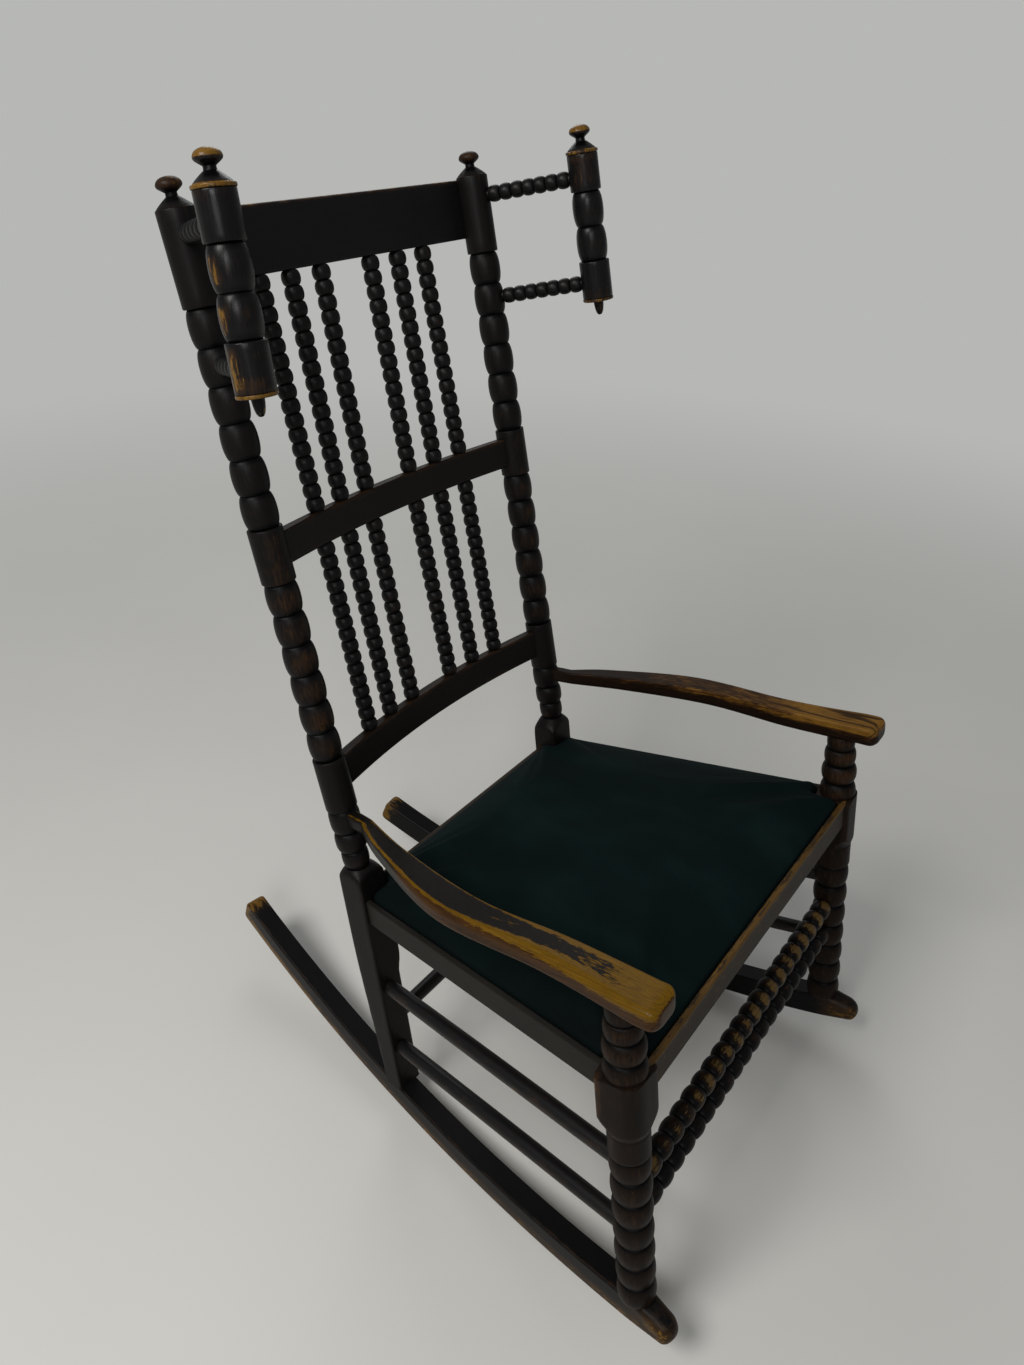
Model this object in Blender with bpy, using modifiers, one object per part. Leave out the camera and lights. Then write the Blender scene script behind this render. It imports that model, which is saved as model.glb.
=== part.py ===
# Bobbin rocking chair: turned posts, spindles and wings on two rockers, with a drop-in velvet seat.
# Metres, +Z up, the sitter faces -Y, and the origin is on the floor under the middle of the chair.
# The chair is drawn upright, with its legs along Z, and hangs from an empty that leans it back to rest.

import math

import bmesh
import bpy
from mathutils import Matrix, Vector

# Fits
CLEARANCE = 0.0003
TENON = 0.010
SEAT_GAP = 0.0015

# Stance
REST_TILT = math.radians(9.3)
STAND_Y = 0.006
STAND_Z = 0.0232
FRONT_LEG_X = 0.2565
FRONT_LEG_Y = -0.357
REAR_LEG_X = 0.1975
REAR_LEG_Y = 0.042
REAR_LEG_SPLAY = math.radians(0.15)
REAR_LEG_TAPER = 0.010
POST_RAKE = math.radians(4.75)
POST_SPLAY = math.radians(0.55)

# Rockers
ROCKER_RADIUS = 1.25
ROCKER_CONTACT_Y = -0.021
ROCKER_DEPTH = 0.037
ROCKER_WIDTH = 0.028
ROCKER_HALF_LENGTH = 0.400
ROCKER_FACET = math.radians(1.5)
ROCKER_END_ROUND = 0.013
ROCKER_NOSE_RUN = 0.028
ROCKER_NOSE_FALL = 0.016

# Front legs
LEG_BAR = 0.046
LEG_BEAD_RADIUS = 0.0215
LEG_GROOVE_RADIUS = 0.0178
LEG_BEAD = 0.034
LEG_BEADS = 7
LEG_COLLAR_Z = 0.2344
LEG_BLOCK_BOTTOM_Z = 0.292
LEG_BLOCK_TOP_Z = 0.342
LEG_TONGUE = 0.024
LEG_RING_LENGTHS = (0.0195, 0.026, 0.022)
LEG_RING_RADII = (0.0218, 0.0212, 0.0190)
LEG_NECK_RADIUS = 0.0155
LEG_PEG_RADIUS = 0.008

# Rear posts
POST_BLOCK_TOP_Z = 0.376
POST_LEG = 0.036
POST_BLOCK_SWELL = 0.006
POST_BLOCK_LENGTH = 0.145
POST_OGEE = 0.030
POST_SHOULDER = 0.010
POST_RADIUS = 0.018
POST_GROOVE_RADIUS = 0.0148
POST_NECK_RADIUS = 0.0125
POST_NECK = 0.024
POST_RING_LENGTHS = (0.025, 0.0314)
POST_LOWER_PLAIN = 0.0649
POST_BEAD = 0.0346
POST_BEADS = 6
POST_MIDDLE_PLAIN = 0.0571
POST_CREST_PLAIN = 0.0821

# Every turned piece steps from a groove to a plain length over this height
BEAD_LEAD = 0.0015

# Finials of the rear posts and the wing posts
CAP_HEIGHT = 0.008
FINIAL_NECK_RADIUS = 0.006
FINIAL_NECK = 0.004
KNOB_RADIUS = 0.0117
KNOB_HEIGHT = 0.013

# Back rails and spindles, placed along the posts from the top of the square block
CREST_CENTRE = 0.6665
CREST_HEIGHT = 0.062
CREST_THICKNESS = 0.014
CREST_SETBACK = 0.014
CREST_BOW = 0.006
MIDDLE_RAIL_CENTRE = 0.383
MIDDLE_RAIL_HEIGHT = 0.035
LOWER_RAIL_CENTRE = 0.1177
LOWER_RAIL_HEIGHT = 0.037
BOWED_RAIL_THICKNESS = 0.015
BOW = 0.025
BOW_PIECES = 10
SPINDLE_X = (-0.1186, -0.078, -0.036, 0.036, 0.078, 0.1186)
SPINDLE_BEADS = 16
SPINDLE_RADIUS = 0.0093
SPINDLE_GROOVE_RADIUS = 0.0056
SPINDLE_PEG_RADIUS = 0.0045

# Wings
WING_OUT = 0.048
WING_FORWARD = 0.122
WING_CAP = 0.704
WING_LEAN_IN = math.radians(2.4)
WING_LEAN_FORWARD = math.radians(1.5)
WING_RADIUS = 0.0175
WING_GROOVE_RADIUS = 0.0145
WING_UPPER_PLAIN = 0.041
WING_BEAD = 0.0365
WING_BEADS = 2
WING_LOWER_PLAIN = 0.044
WING_FOOT_RING = 0.005
WING_DROP = 0.019
WING_DROP_RADIUS = 0.006
WING_SPINDLE_LEVELS = {"upper": 0.0265, "lower": 0.137}
WING_SPINDLE_BEADS = 7
WING_SPINDLE_RADIUS = 0.0076
WING_SPINDLE_GROOVE_RADIUS = 0.0050

# Arms, whose edges are points of (share of the way from the rear leg to the front leg, distance out)
ARM_TOP_Z = 0.453
ARM_THICKNESS = 0.024
ARM_REAR_THICKNESS = 0.016
ARM_TAPER_SHARE = 0.72
ARM_OUTER = ((0.080, 0.0063), (0.2055, 0.0234), (0.481, 0.0431), (0.807, 0.0249), (1.0576, 0.0191))
ARM_INNER = ((0.095, -0.0076), (0.283, 0.0038), (0.569, 0.0064), (0.832, -0.0116), (1.070, -0.0226))
ARM_OVERHANG = 0.047
ARM_CURVE_STEPS = 4
ARM_ROUND = 0.007
ARM_CHAMFER = 0.0025
ARM_CORNER = 0.009
ARM_TONGUE_WIDTH = 0.0148
ARM_NECK = 0.004

# Seat rails and the drop-in seat
SEAT_FRONT_TOP_Z = 0.342
SEAT_REAR_TOP_Z = 0.335
SEAT_RAIL_HEIGHT = 0.034
SEAT_RAIL_THICKNESS = 0.022
FRONT_RAIL_SETOUT = 0.007
REAR_RAIL_SETIN = 0.004
SEAT_LIP = 0.007
SEAT_REBATE = 0.016
SEAT_FRAME_WIDTH = 0.045
SEAT_FRAME_THICKNESS = 0.015
WEBBING_WIDTH = 0.050
WEBBING_THICKNESS = 0.0015
WEBBING_STRAPS = 3
COVER_THICKNESS = 0.002
CUSHION_EDGE = 0.012
CUSHION_CROWN = 0.022
CUSHION_DRAW_IN = 0.004
CUSHION_RINGS = 5

# Stretchers, with their heights at the front leg and the rear leg
SIDE_STRETCHER_RADIUS = 0.0097
SIDE_STRETCHERS = {"upper": (0.207, 0.192), "lower": (0.106, 0.089)}
FRONT_STRETCHERS = {"upper": 0.172, "lower": 0.128}
FRONT_STRETCHER_BEADS = 20
FRONT_STRETCHER_RADIUS = 0.0125
FRONT_STRETCHER_GROOVE_RADIUS = 0.0095
REAR_STRETCHER_Z = 0.122
STRETCHER_PEG_RADIUS = 0.0075

# Sides of the turned pieces, kept low because the finished surface is made elsewhere
POST_SIDES = 10
SPINDLE_SIDES = 6
STRETCHER_SIDES = 8
CUTTER_SIDES = 12
CUT_MARGIN = 0.020

SIDES = {"left": 1, "right": -1}
UP = Vector((0, 0, 1))
ACROSS = Vector((1, 0, 0))


# The scene, its collections and its frames

for old in list(bpy.data.objects):
    bpy.data.objects.remove(old, do_unlink=True)

chair = bpy.data.collections.new("bobbin_rocking_chair")
cutters = bpy.data.collections.new("cutters")
bpy.context.scene.collection.children.link(chair)
bpy.context.scene.collection.children.link(cutters)


def frame(name, matrix, parent=None):
    empty = bpy.data.objects.new(name, None)
    chair.objects.link(empty)
    empty.parent = parent
    empty.matrix_basis = matrix
    return empty


seat_slope = math.atan2(SEAT_FRONT_TOP_Z - SEAT_REAR_TOP_Z, REAR_LEG_Y - FRONT_LEG_Y)
seat_middle_y = (FRONT_LEG_Y + REAR_LEG_Y) / 2
seat_middle_z = (SEAT_FRONT_TOP_Z + SEAT_REAR_TOP_Z) / 2
tilt = Matrix.Translation((0, STAND_Y, STAND_Z)) @ Matrix.Rotation(-REST_TILT, 4, "X")
back_matrix = Matrix.Translation((0, REAR_LEG_Y, POST_BLOCK_TOP_Z)) @ Matrix.Rotation(-POST_RAKE, 4, "X")
seat_matrix = Matrix.Translation((0, seat_middle_y, seat_middle_z)) @ Matrix.Rotation(-seat_slope, 4, "X")

upright = frame("upright_frame", tilt)
back = frame("back_frame", back_matrix, upright)
seat = frame("seat_frame_origin", seat_matrix, upright)


# Materials

def material(name, colour, roughness):
    made = bpy.data.materials.new(name)
    made.use_nodes = True
    shader = made.node_tree.nodes["Principled BSDF"]
    shader.inputs["Base Color"].default_value = (*colour, 1)
    shader.inputs["Roughness"].default_value = roughness
    shader.inputs["Metallic"].default_value = 0
    return made


EBONISED = material("ebonised_wood", (0.016, 0.012, 0.010), 0.45)
WORN_ARM = material("worn_arm_wood", (0.180, 0.095, 0.030), 0.40)
ROCKER_WOOD = material("rocker_wood", (0.030, 0.020, 0.014), 0.50)
DEAL = material("deal_seat_frame", (0.480, 0.330, 0.180), 0.70)
WEBBING = material("jute_webbing", (0.380, 0.280, 0.170), 0.90)
STUFFING = material("seat_stuffing", (0.620, 0.580, 0.500), 0.95)
VELVET = material("green_velvet", (0.006, 0.034, 0.028), 0.85)


# Shapes

def add(name, mesh, matrix, parent, paint=None):
    """An object of the chair, or a hidden cutter where it has no material."""
    made = bpy.data.objects.new(name, mesh)
    made.parent = parent
    made.matrix_basis = matrix
    if paint:
        mesh.materials.append(paint)
        chair.objects.link(made)
    else:
        cutters.objects.link(made)
        made.hide_render = True
        made.display_type = "WIRE"
    return made


def axis_matrix(start, end):
    """A frame at start with its Z axis towards end."""
    direction = (end - start).normalized()
    return Matrix.Translation(start) @ direction.to_track_quat("Z", "Y").to_matrix().to_4x4()


def turned(name, profile, sides, matrix, parent, paint=None):
    """A lathe-turned piece: profile holds (radius, height) from the top down, closed on the axis."""
    mesh = bpy.data.meshes.new(name)
    points = [(0, 0, profile[0][1])]
    points += [(radius, 0, height) for radius, height in profile]
    points += [(0, 0, profile[-1][1])]
    edges = [(i, i + 1) for i in range(len(points) - 1)]
    mesh.from_pydata(points, edges, [])
    made = add(name, mesh, matrix, parent, paint)
    lathe = made.modifiers.new("lathe", "SCREW")
    lathe.steps = sides
    lathe.render_steps = sides
    lathe.use_merge_vertices = True
    lathe.merge_threshold = 0.0001
    return made


def block(name, size, matrix, parent, paint=None):
    mesh = bpy.data.meshes.new(name)
    shape = bmesh.new()
    bmesh.ops.create_cube(shape, size=1, matrix=Matrix.Diagonal((*size, 1)))
    shape.to_mesh(mesh)
    shape.free()
    return add(name, mesh, matrix, parent, paint)


def board(name, outline, thickness, matrix, parent, paint=None):
    """A flat outline in local X and Y, thickness along local Z and centred there."""
    curve = bpy.data.curves.new(name, "CURVE")
    curve.dimensions = "2D"
    curve.fill_mode = "BOTH"
    curve.extrude = thickness / 2
    spline = curve.splines.new("POLY")
    spline.points.add(len(outline) - 1)
    for point, (x, y) in zip(spline.points, outline):
        point.co = (x, y, 0, 1)
    spline.use_cyclic_u = True
    drawn = bpy.data.objects.new(name + "_curve", curve)
    cutters.objects.link(drawn)
    graph = bpy.context.evaluated_depsgraph_get()
    mesh = bpy.data.meshes.new_from_object(drawn.evaluated_get(graph))
    bpy.data.objects.remove(drawn)
    shape = bmesh.new()
    shape.from_mesh(mesh)
    bmesh.ops.remove_doubles(shape, verts=shape.verts, dist=0.00001)
    bmesh.ops.recalc_face_normals(shape, faces=shape.faces)
    shape.to_mesh(mesh)
    shape.free()
    mesh.materials.clear()
    return add(name, mesh, matrix, parent, paint)


def lofted(name, rings, matrix, parent, paint=None):
    """A closed skin through rings of equally many points, capped at both ends."""
    mesh = bpy.data.meshes.new(name)
    shape = bmesh.new()
    rows = [[shape.verts.new(point) for point in ring] for ring in rings]
    count = len(rings[0])
    for upper, lower in zip(rows, rows[1:]):
        for i in range(count):
            j = (i + 1) % count
            shape.faces.new((upper[i], upper[j], lower[j], lower[i]))
    shape.faces.new(rows[0])
    shape.faces.new(rows[-1])
    bmesh.ops.recalc_face_normals(shape, faces=shape.faces)
    shape.to_mesh(mesh)
    shape.free()
    return add(name, mesh, matrix, parent, paint)


def boolean(target, operation, tool):
    step = target.modifiers.new(tool.name, "BOOLEAN")
    step.operation = operation
    step.solver = "EXACT"
    step.object = tool


def socket(target, label, start, end, radius, parent):
    """A round mortise in target, from start out past end, a clearance wider than the peg."""
    reach = (end - start).normalized()
    floor = start - reach * CLEARANCE
    mouth = end + reach * CUT_MARGIN
    depth = (mouth - floor).length
    wide = (radius + CLEARANCE) / math.cos(math.pi / CUTTER_SIDES)
    profile = [(wide, depth), (wide, 0)]
    name = target.name + "_" + label
    tool = turned(name, profile, CUTTER_SIDES, axis_matrix(floor, mouth), parent)
    boolean(target, "DIFFERENCE", tool)


# Turned profiles, each a list of (radius, height) from the top down

def bead(top, length, radius, groove, stations):
    """One bead below a groove: stations are the (share of length, share of swell) points."""
    return [(groove + (radius - groove) * swell, top - length * share) for share, swell in stations]


BARREL = ((0.0, 0.0), (0.22, 0.92), (0.62, 1.0))
BALL = ((0.0, 0.0), (0.5, 1.0))


def beads(top, length, count, radius, groove, stations):
    points = []
    for i in range(count):
        points += bead(top - i * length, length, radius, groove, stations)
    return points


def finial(base, radius):
    """Knob, neck and cone above a cap edge of this radius at height base."""
    neck_foot = base + CAP_HEIGHT
    neck_top = neck_foot + FINIAL_NECK
    knob_top = neck_top + KNOB_HEIGHT
    return [
        (KNOB_RADIUS * 0.60, knob_top),
        (KNOB_RADIUS, neck_top + KNOB_HEIGHT * 0.58),
        (KNOB_RADIUS * 0.86, neck_top + KNOB_HEIGHT * 0.22),
        (FINIAL_NECK_RADIUS, neck_top),
        (FINIAL_NECK_RADIUS, neck_foot),
        (radius, base),
    ]


# Where things stand along the rear posts, measured from the top of the square block

ring_bottom = POST_NECK
lower_plain = ring_bottom + sum(POST_RING_LENGTHS)
lower_beads = lower_plain + POST_LOWER_PLAIN
middle_plain = lower_beads + POST_BEADS * POST_BEAD
upper_beads = middle_plain + POST_MIDDLE_PLAIN
crest_plain = upper_beads + POST_BEADS * POST_BEAD
post_cap = crest_plain + POST_CREST_PLAIN
arm_level = ring_bottom + POST_RING_LENGTHS[0] + POST_RING_LENGTHS[1] / 2


def post_x(level):
    return REAR_LEG_X + level * math.tan(POST_SPLAY)


def post_profile():
    points = finial(post_cap, POST_RADIUS)
    points += [(POST_RADIUS, crest_plain + CLEARANCE)]
    points += beads(crest_plain, POST_BEAD, POST_BEADS, POST_RADIUS, POST_GROOVE_RADIUS, BARREL)
    points += [(POST_GROOVE_RADIUS, upper_beads), (POST_RADIUS, upper_beads - BEAD_LEAD)]
    points += [(POST_RADIUS, middle_plain + CLEARANCE)]
    points += beads(middle_plain, POST_BEAD, POST_BEADS, POST_RADIUS, POST_GROOVE_RADIUS, BARREL)
    points += [(POST_GROOVE_RADIUS, lower_beads), (POST_RADIUS, lower_beads - BEAD_LEAD)]
    points += [(POST_RADIUS, lower_plain + CLEARANCE)]
    top = lower_plain
    for length in reversed(POST_RING_LENGTHS):
        points += bead(top, length, POST_RADIUS, POST_GROOVE_RADIUS, BARREL)
        top -= length
    points += [(POST_RADIUS, top), (POST_NECK_RADIUS, top / 2), (POST_NECK_RADIUS, -POST_SHOULDER)]
    return points


def leg_profile(top, foot):
    """The turned front leg, wider than the square bar along its block so that the block stays square."""
    square = LEG_BAR
    diagonal = LEG_BAR / math.sqrt(2)
    points = [(LEG_PEG_RADIUS, top + TENON), (LEG_PEG_RADIUS, top), (LEG_NECK_RADIUS, top)]
    ring_top = LEG_BLOCK_TOP_Z + sum(LEG_RING_LENGTHS)
    for length, radius in reversed(list(zip(LEG_RING_LENGTHS, LEG_RING_RADII))):
        points += bead(ring_top, length, radius, LEG_NECK_RADIUS, BARREL)
        ring_top -= length
    points += [(LEG_RING_RADII[0], LEG_BLOCK_TOP_Z), (square, LEG_BLOCK_TOP_Z)]
    points += [(square, LEG_BLOCK_BOTTOM_Z), (diagonal, LEG_BLOCK_BOTTOM_Z)]
    points += [((diagonal + 2 * LEG_BEAD_RADIUS) / 3, LEG_BLOCK_BOTTOM_Z - LEG_TONGUE / 2)]
    points += [(LEG_BEAD_RADIUS, LEG_BLOCK_BOTTOM_Z - LEG_TONGUE)]
    points += [(LEG_BEAD_RADIUS, LEG_COLLAR_Z + CLEARANCE)]
    points += beads(LEG_COLLAR_Z, LEG_BEAD, LEG_BEADS, LEG_BEAD_RADIUS, LEG_GROOVE_RADIUS, BARREL)
    points += [(LEG_GROOVE_RADIUS, foot)]
    return points


def bobbin_profile(length, count, radius, groove, peg):
    """A beaded stick with a peg of one tenon's length beyond each end."""
    points = [(peg, length + TENON), (peg, length)]
    points += beads(length, length / count, count, radius, groove, BALL)
    points += [(groove, 0), (peg, 0), (peg, -TENON)]
    return points


# Rockers: a faceted arc that rolls on the floor, toed in from the front feet to the rear feet

rocker_top_radius = ROCKER_RADIUS - ROCKER_DEPTH


def foot_on_rocker(y, splay, x):
    """Where a leg's axis, at y in the upright frame, meets the arc of the rocker's top, in world space."""
    sine = math.sin(REST_TILT)
    cosine = math.cos(REST_TILT)
    start_y = STAND_Y + y * cosine - ROCKER_CONTACT_Y
    start_z = STAND_Z - y * sine - ROCKER_RADIUS
    along = start_y * sine + start_z * cosine
    rest = start_y ** 2 + start_z ** 2 - rocker_top_radius ** 2
    height = -along - math.sqrt(along ** 2 - rest)
    spread = (POST_BLOCK_TOP_Z - height) * math.tan(splay)
    foot_y = STAND_Y + y * cosine + height * sine
    foot_z = STAND_Z + height * cosine - y * sine
    return Vector((x + spread, foot_y, foot_z))


front_foot = foot_on_rocker(FRONT_LEG_Y, 0, FRONT_LEG_X)
rear_foot = foot_on_rocker(REAR_LEG_Y, REAR_LEG_SPLAY, REAR_LEG_X)
toe_in = math.atan2(front_foot.x - rear_foot.x, rear_foot.y - front_foot.y)


def rocker_matrix(side):
    """Local X runs to the rear along the rocker, local Y is up, and local Z is across it."""
    share = (ROCKER_CONTACT_Y - front_foot.y) / (rear_foot.y - front_foot.y)
    x = front_foot.x + (rear_foot.x - front_foot.x) * share
    along = Vector((-side * math.sin(toe_in), math.cos(toe_in), 0))
    across = along.cross(UP)
    turn = Matrix((along, UP, across)).transposed().to_4x4()
    return Matrix.Translation((side * x, ROCKER_CONTACT_Y, 0)) @ turn


def arc(radius, first, last):
    """Points of a faceted arc about the rocker's centre, with one facet flat on the floor."""
    outer = radius / math.cos(ROCKER_FACET / 2)
    low = math.ceil(first / ROCKER_FACET - 0.5)
    high = math.floor(last / ROCKER_FACET - 0.5)
    clear = 1.1 * ROCKER_NOSE_RUN / radius
    angles = [(k + 0.5) * ROCKER_FACET for k in range(low, high + 1)]
    angles = [first] + [a for a in angles if first + clear < a < last - clear] + [last]
    return [(outer * math.sin(a), ROCKER_RADIUS - outer * math.cos(a)) for a in angles]


def rounded(corner, before, after, first=ROCKER_END_ROUND, second=ROCKER_END_ROUND):
    """Two points that cut a corner back by these lengths towards its neighbours."""
    corner = Vector(corner)
    lengths = ((before, first), (after, second))
    cuts = [corner + (Vector(p) - corner).normalized() * length for p, length in lengths]
    return [tuple(point) for point in cuts]


def rocker_outline():
    sweep = (ROCKER_RADIUS - ROCKER_END_ROUND) * math.cos(toe_in)
    nose = -math.asin((ROCKER_HALF_LENGTH + ROCKER_CONTACT_Y) / sweep)
    tail = math.asin((ROCKER_HALF_LENGTH - ROCKER_CONTACT_Y) / sweep)
    under = arc(ROCKER_RADIUS, nose, tail)
    over = arc(rocker_top_radius, nose, tail)
    outline = rounded(under[0], over[0], under[1]) + under[1:-1]
    outline += rounded(under[-1], under[-2], over[-1])
    outline += rounded(over[-1], under[-1], over[-2]) + over[-2:0:-1]
    outline += rounded(over[0], over[1], under[0], ROCKER_NOSE_RUN, ROCKER_NOSE_FALL)
    return outline


def foot_cut(target, side):
    """Shapes a leg's foot to the top of its rocker."""
    sweep = math.asin((ROCKER_HALF_LENGTH + CUT_MARGIN) / rocker_top_radius)
    top = arc(rocker_top_radius - CLEARANCE, -sweep, sweep)
    low = -LEG_BAR * 2
    outline = [(top[-1][0], low)] + top[::-1] + [(top[0][0], low)]
    tool = board(target.name + "_foot_cut", outline, LEG_BAR * 2, rocker_matrix(side), None)
    boolean(target, "DIFFERENCE", tool)


for name, side in SIDES.items():
    board("rocker_" + name, rocker_outline(), ROCKER_WIDTH, rocker_matrix(side), None, ROCKER_WOOD)


# Rear posts: a square leg with a swollen block at the seat, and the turned and raked post above it

leg_length = POST_BLOCK_TOP_Z + LEG_BAR


def rear_leg_outline(side):
    half = POST_LEG / 2
    inner = half + POST_BLOCK_SWELL
    shoulder = POST_NECK_RADIUS + POST_BLOCK_SWELL / 2
    ogee = [(0.0, 1.0), (0.35, 0.85), (0.65, 0.15), (1.0, 0.0)]
    points = [(half, -leg_length), (half, -POST_SHOULDER), (shoulder, 0), (-shoulder, 0)]
    points += [(-inner, -POST_SHOULDER)]
    for share, swell in ogee:
        height = -POST_BLOCK_LENGTH - POST_OGEE * share
        points.append((-half - POST_BLOCK_SWELL * swell, height))
    points.append((-half, -leg_length))
    return [(side * x, y) for x, y in points]


def rear_leg_matrix(side):
    """Local X is across, local Y runs up the leg, from the top of its block."""
    turn = Matrix.Rotation(-side * REAR_LEG_SPLAY, 4, "Y") @ Matrix.Rotation(math.pi / 2, 4, "X")
    return Matrix.Translation((side * REAR_LEG_X, REAR_LEG_Y, POST_BLOCK_TOP_Z)) @ turn


def rear_leg_point(side, height):
    spread = (POST_BLOCK_TOP_Z - height) * math.tan(REAR_LEG_SPLAY)
    return Vector((side * (REAR_LEG_X + spread), REAR_LEG_Y, height))


def front_leg_point(side, height):
    return Vector((side * FRONT_LEG_X, FRONT_LEG_Y, height))


def post_point(side, level):
    return Vector((side * post_x(level), 0, level))


rear_posts = {}
for name, side in SIDES.items():
    label = "rear_post_" + name
    post = board(label, rear_leg_outline(side), POST_LEG, rear_leg_matrix(side), upright, EBONISED)
    for vertex in post.data.vertices:
        if vertex.co.z < 0 and vertex.co.y < CUT_MARGIN - leg_length:
            vertex.co.z += REAR_LEG_TAPER
    matrix = axis_matrix(post_point(side, 0), post_point(side, 1))
    upper = turned(label + "_turning", post_profile(), POST_SIDES, matrix, back)
    boolean(post, "UNION", upper)
    foot_cut(post, side)
    rear_posts[name] = post


# Front legs: a square bar turned down everywhere but at its block

arm_under_z = ARM_TOP_Z - ARM_THICKNESS
front_legs = {}
for name, side in SIDES.items():
    label = "front_leg_" + name
    top = arm_under_z + TENON
    bottom = -LEG_BAR
    centre = Matrix.Translation(front_leg_point(side, (top + bottom) / 2))
    leg = block(label, (LEG_BAR, LEG_BAR, top - bottom), centre, upright, EBONISED)
    base = Matrix.Translation(front_leg_point(side, 0))
    profile = leg_profile(arm_under_z - CLEARANCE, bottom)
    turning = turned(label + "_turning", profile, POST_SIDES, base, upright)
    boolean(leg, "INTERSECT", turning)
    foot_cut(leg, side)
    front_legs[name] = leg


# Arms: S-curved in plan, narrow and thin where they enter the post, and pegged on the front leg

def smooth(points):
    """A smooth line through a few points, by cubic segments with natural slopes."""
    line = []
    for i in range(len(points) - 1):
        before = points[max(i - 1, 0)]
        start, end = points[i], points[i + 1]
        after = points[min(i + 2, len(points) - 1)]
        for step in range(ARM_CURVE_STEPS):
            t = step / ARM_CURVE_STEPS
            blend = t * t * (3 - 2 * t)
            leave = t * (1 - t) ** 2 / 2
            arrive = t * t * (t - 1) / 2
            line.append(start + (end - start) * blend + (end - before) * leave + (after - start) * arrive)
    return line + [points[-1]]


def arm_edge(points):
    """An edge of the +X arm in plan, placed by the line between the legs."""
    rear = Vector((REAR_LEG_X, REAR_LEG_Y))
    way = Vector((FRONT_LEG_X, FRONT_LEG_Y)) - rear
    return smooth([rear + way * share + Vector((out, 0)) for share, out in points])


def arm_section(middle, across, half, top, thickness):
    """Eight corners of an arm's section, rounded most where its outer side meets its top."""
    low = top - thickness
    soft = ARM_ROUND * thickness / ARM_THICKNESS
    corners = [(half - ARM_CHAMFER, low), (half, low + ARM_CHAMFER), (half, top - soft), (half - soft, top)]
    corners += [(ARM_CHAMFER - half, top), (-half, top - ARM_CHAMFER)]
    corners += [(-half, low + ARM_CHAMFER), (ARM_CHAMFER - half, low)]
    return [(*(middle + across * out), z) for out, z in corners]


arm_outer = arm_edge(ARM_OUTER)
arm_inner = arm_edge(ARM_INNER)
arm_root = (arm_outer[0] + arm_inner[0]) / 2
arm_anchor = (back_matrix @ post_point(1, arm_level)).xy
tongue_way = (arm_root - arm_anchor).normalized()
tongue_across = Vector((-tongue_way.y, tongue_way.x))


def arm_rings():
    """Sections of the +X arm, from the end of its tongue in the post to its front end."""
    half = ARM_TONGUE_WIDTH / 2
    rings = []
    for reach in (POST_RADIUS - TENON, POST_RADIUS + ARM_NECK):
        middle = arm_anchor + tongue_way * reach
        rings.append(arm_section(middle, tongue_across, half, ARM_TOP_Z, ARM_REAR_THICKNESS))
    for i, (outer, inner) in enumerate(zip(arm_outer, arm_inner)):
        share = min(1, i / (len(arm_outer) - 1) / ARM_TAPER_SHARE)
        thickness = ARM_REAR_THICKNESS + (ARM_THICKNESS - ARM_REAR_THICKNESS) * share
        half = (outer - inner).length / 2
        across = (outer - inner).normalized()
        rings.append(arm_section((outer + inner) / 2, across, half, ARM_TOP_Z, thickness))
    front_y = FRONT_LEG_Y - ARM_OVERHANG
    middle_x = (arm_outer[-1].x + arm_inner[-1].x) / 2
    middle = Vector((middle_x, front_y + ARM_CORNER))
    rings.append(arm_section(middle, across, half, ARM_TOP_Z, ARM_THICKNESS))
    middle = Vector((middle_x, front_y))
    top = ARM_TOP_Z - ARM_CHAMFER
    rings.append(arm_section(middle, across, half - ARM_CORNER, top, ARM_THICKNESS - 2 * ARM_CHAMFER))
    return rings


for name, side in SIDES.items():
    rings = [[(side * x, y, z) for x, y, z in ring] for ring in arm_rings()]
    arm = lofted("arm_" + name, rings, Matrix.Identity(4), upright, WORN_ARM)
    peg_top = front_leg_point(side, arm_under_z - CLEARANCE + TENON)
    socket(arm, "peg_socket", peg_top, front_leg_point(side, arm_under_z), LEG_PEG_RADIUS, upright)


# Back rails: the crest bows a little, and the two rails below it bow more

def bow_at(x, level, bow):
    return bow * (1 - (x / post_x(level)) ** 2)


def bowed_strip(reach, half, level, bow):
    stations = [reach * (2 * i / BOW_PIECES - 1) for i in range(BOW_PIECES + 1)]
    front = [(x, bow_at(x, level, bow) - half) for x in stations]
    rear = [(x, bow_at(x, level, bow) + half) for x in reversed(stations)]
    return front + rear


def back_rail(name, level, height, thickness, bow, setback):
    reach = post_x(level) - POST_RADIUS + TENON
    half = thickness / 2
    place = Matrix.Translation((0, setback, level))
    rail = board(name, bowed_strip(reach, half, level, bow), height, place, back, EBONISED)
    grown = bowed_strip(reach + CLEARANCE, half + CLEARANCE, level, bow)
    tool = board(name + "_mortise", grown, height + 2 * CLEARANCE, place, back)
    for post in rear_posts.values():
        boolean(post, "DIFFERENCE", tool)
    return rail


crest = back_rail("crest_rail", CREST_CENTRE, CREST_HEIGHT, CREST_THICKNESS, CREST_BOW, CREST_SETBACK)
middle_size = (MIDDLE_RAIL_CENTRE, MIDDLE_RAIL_HEIGHT, BOWED_RAIL_THICKNESS, BOW)
middle = back_rail("middle_back_rail", *middle_size, 0)
lower_size = (LOWER_RAIL_CENTRE, LOWER_RAIL_HEIGHT, BOWED_RAIL_THICKNESS, BOW)
lower = back_rail("lower_back_rail", *lower_size, 0)


# Spindles of the back, in two rows of six, pegged into the rails

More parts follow.
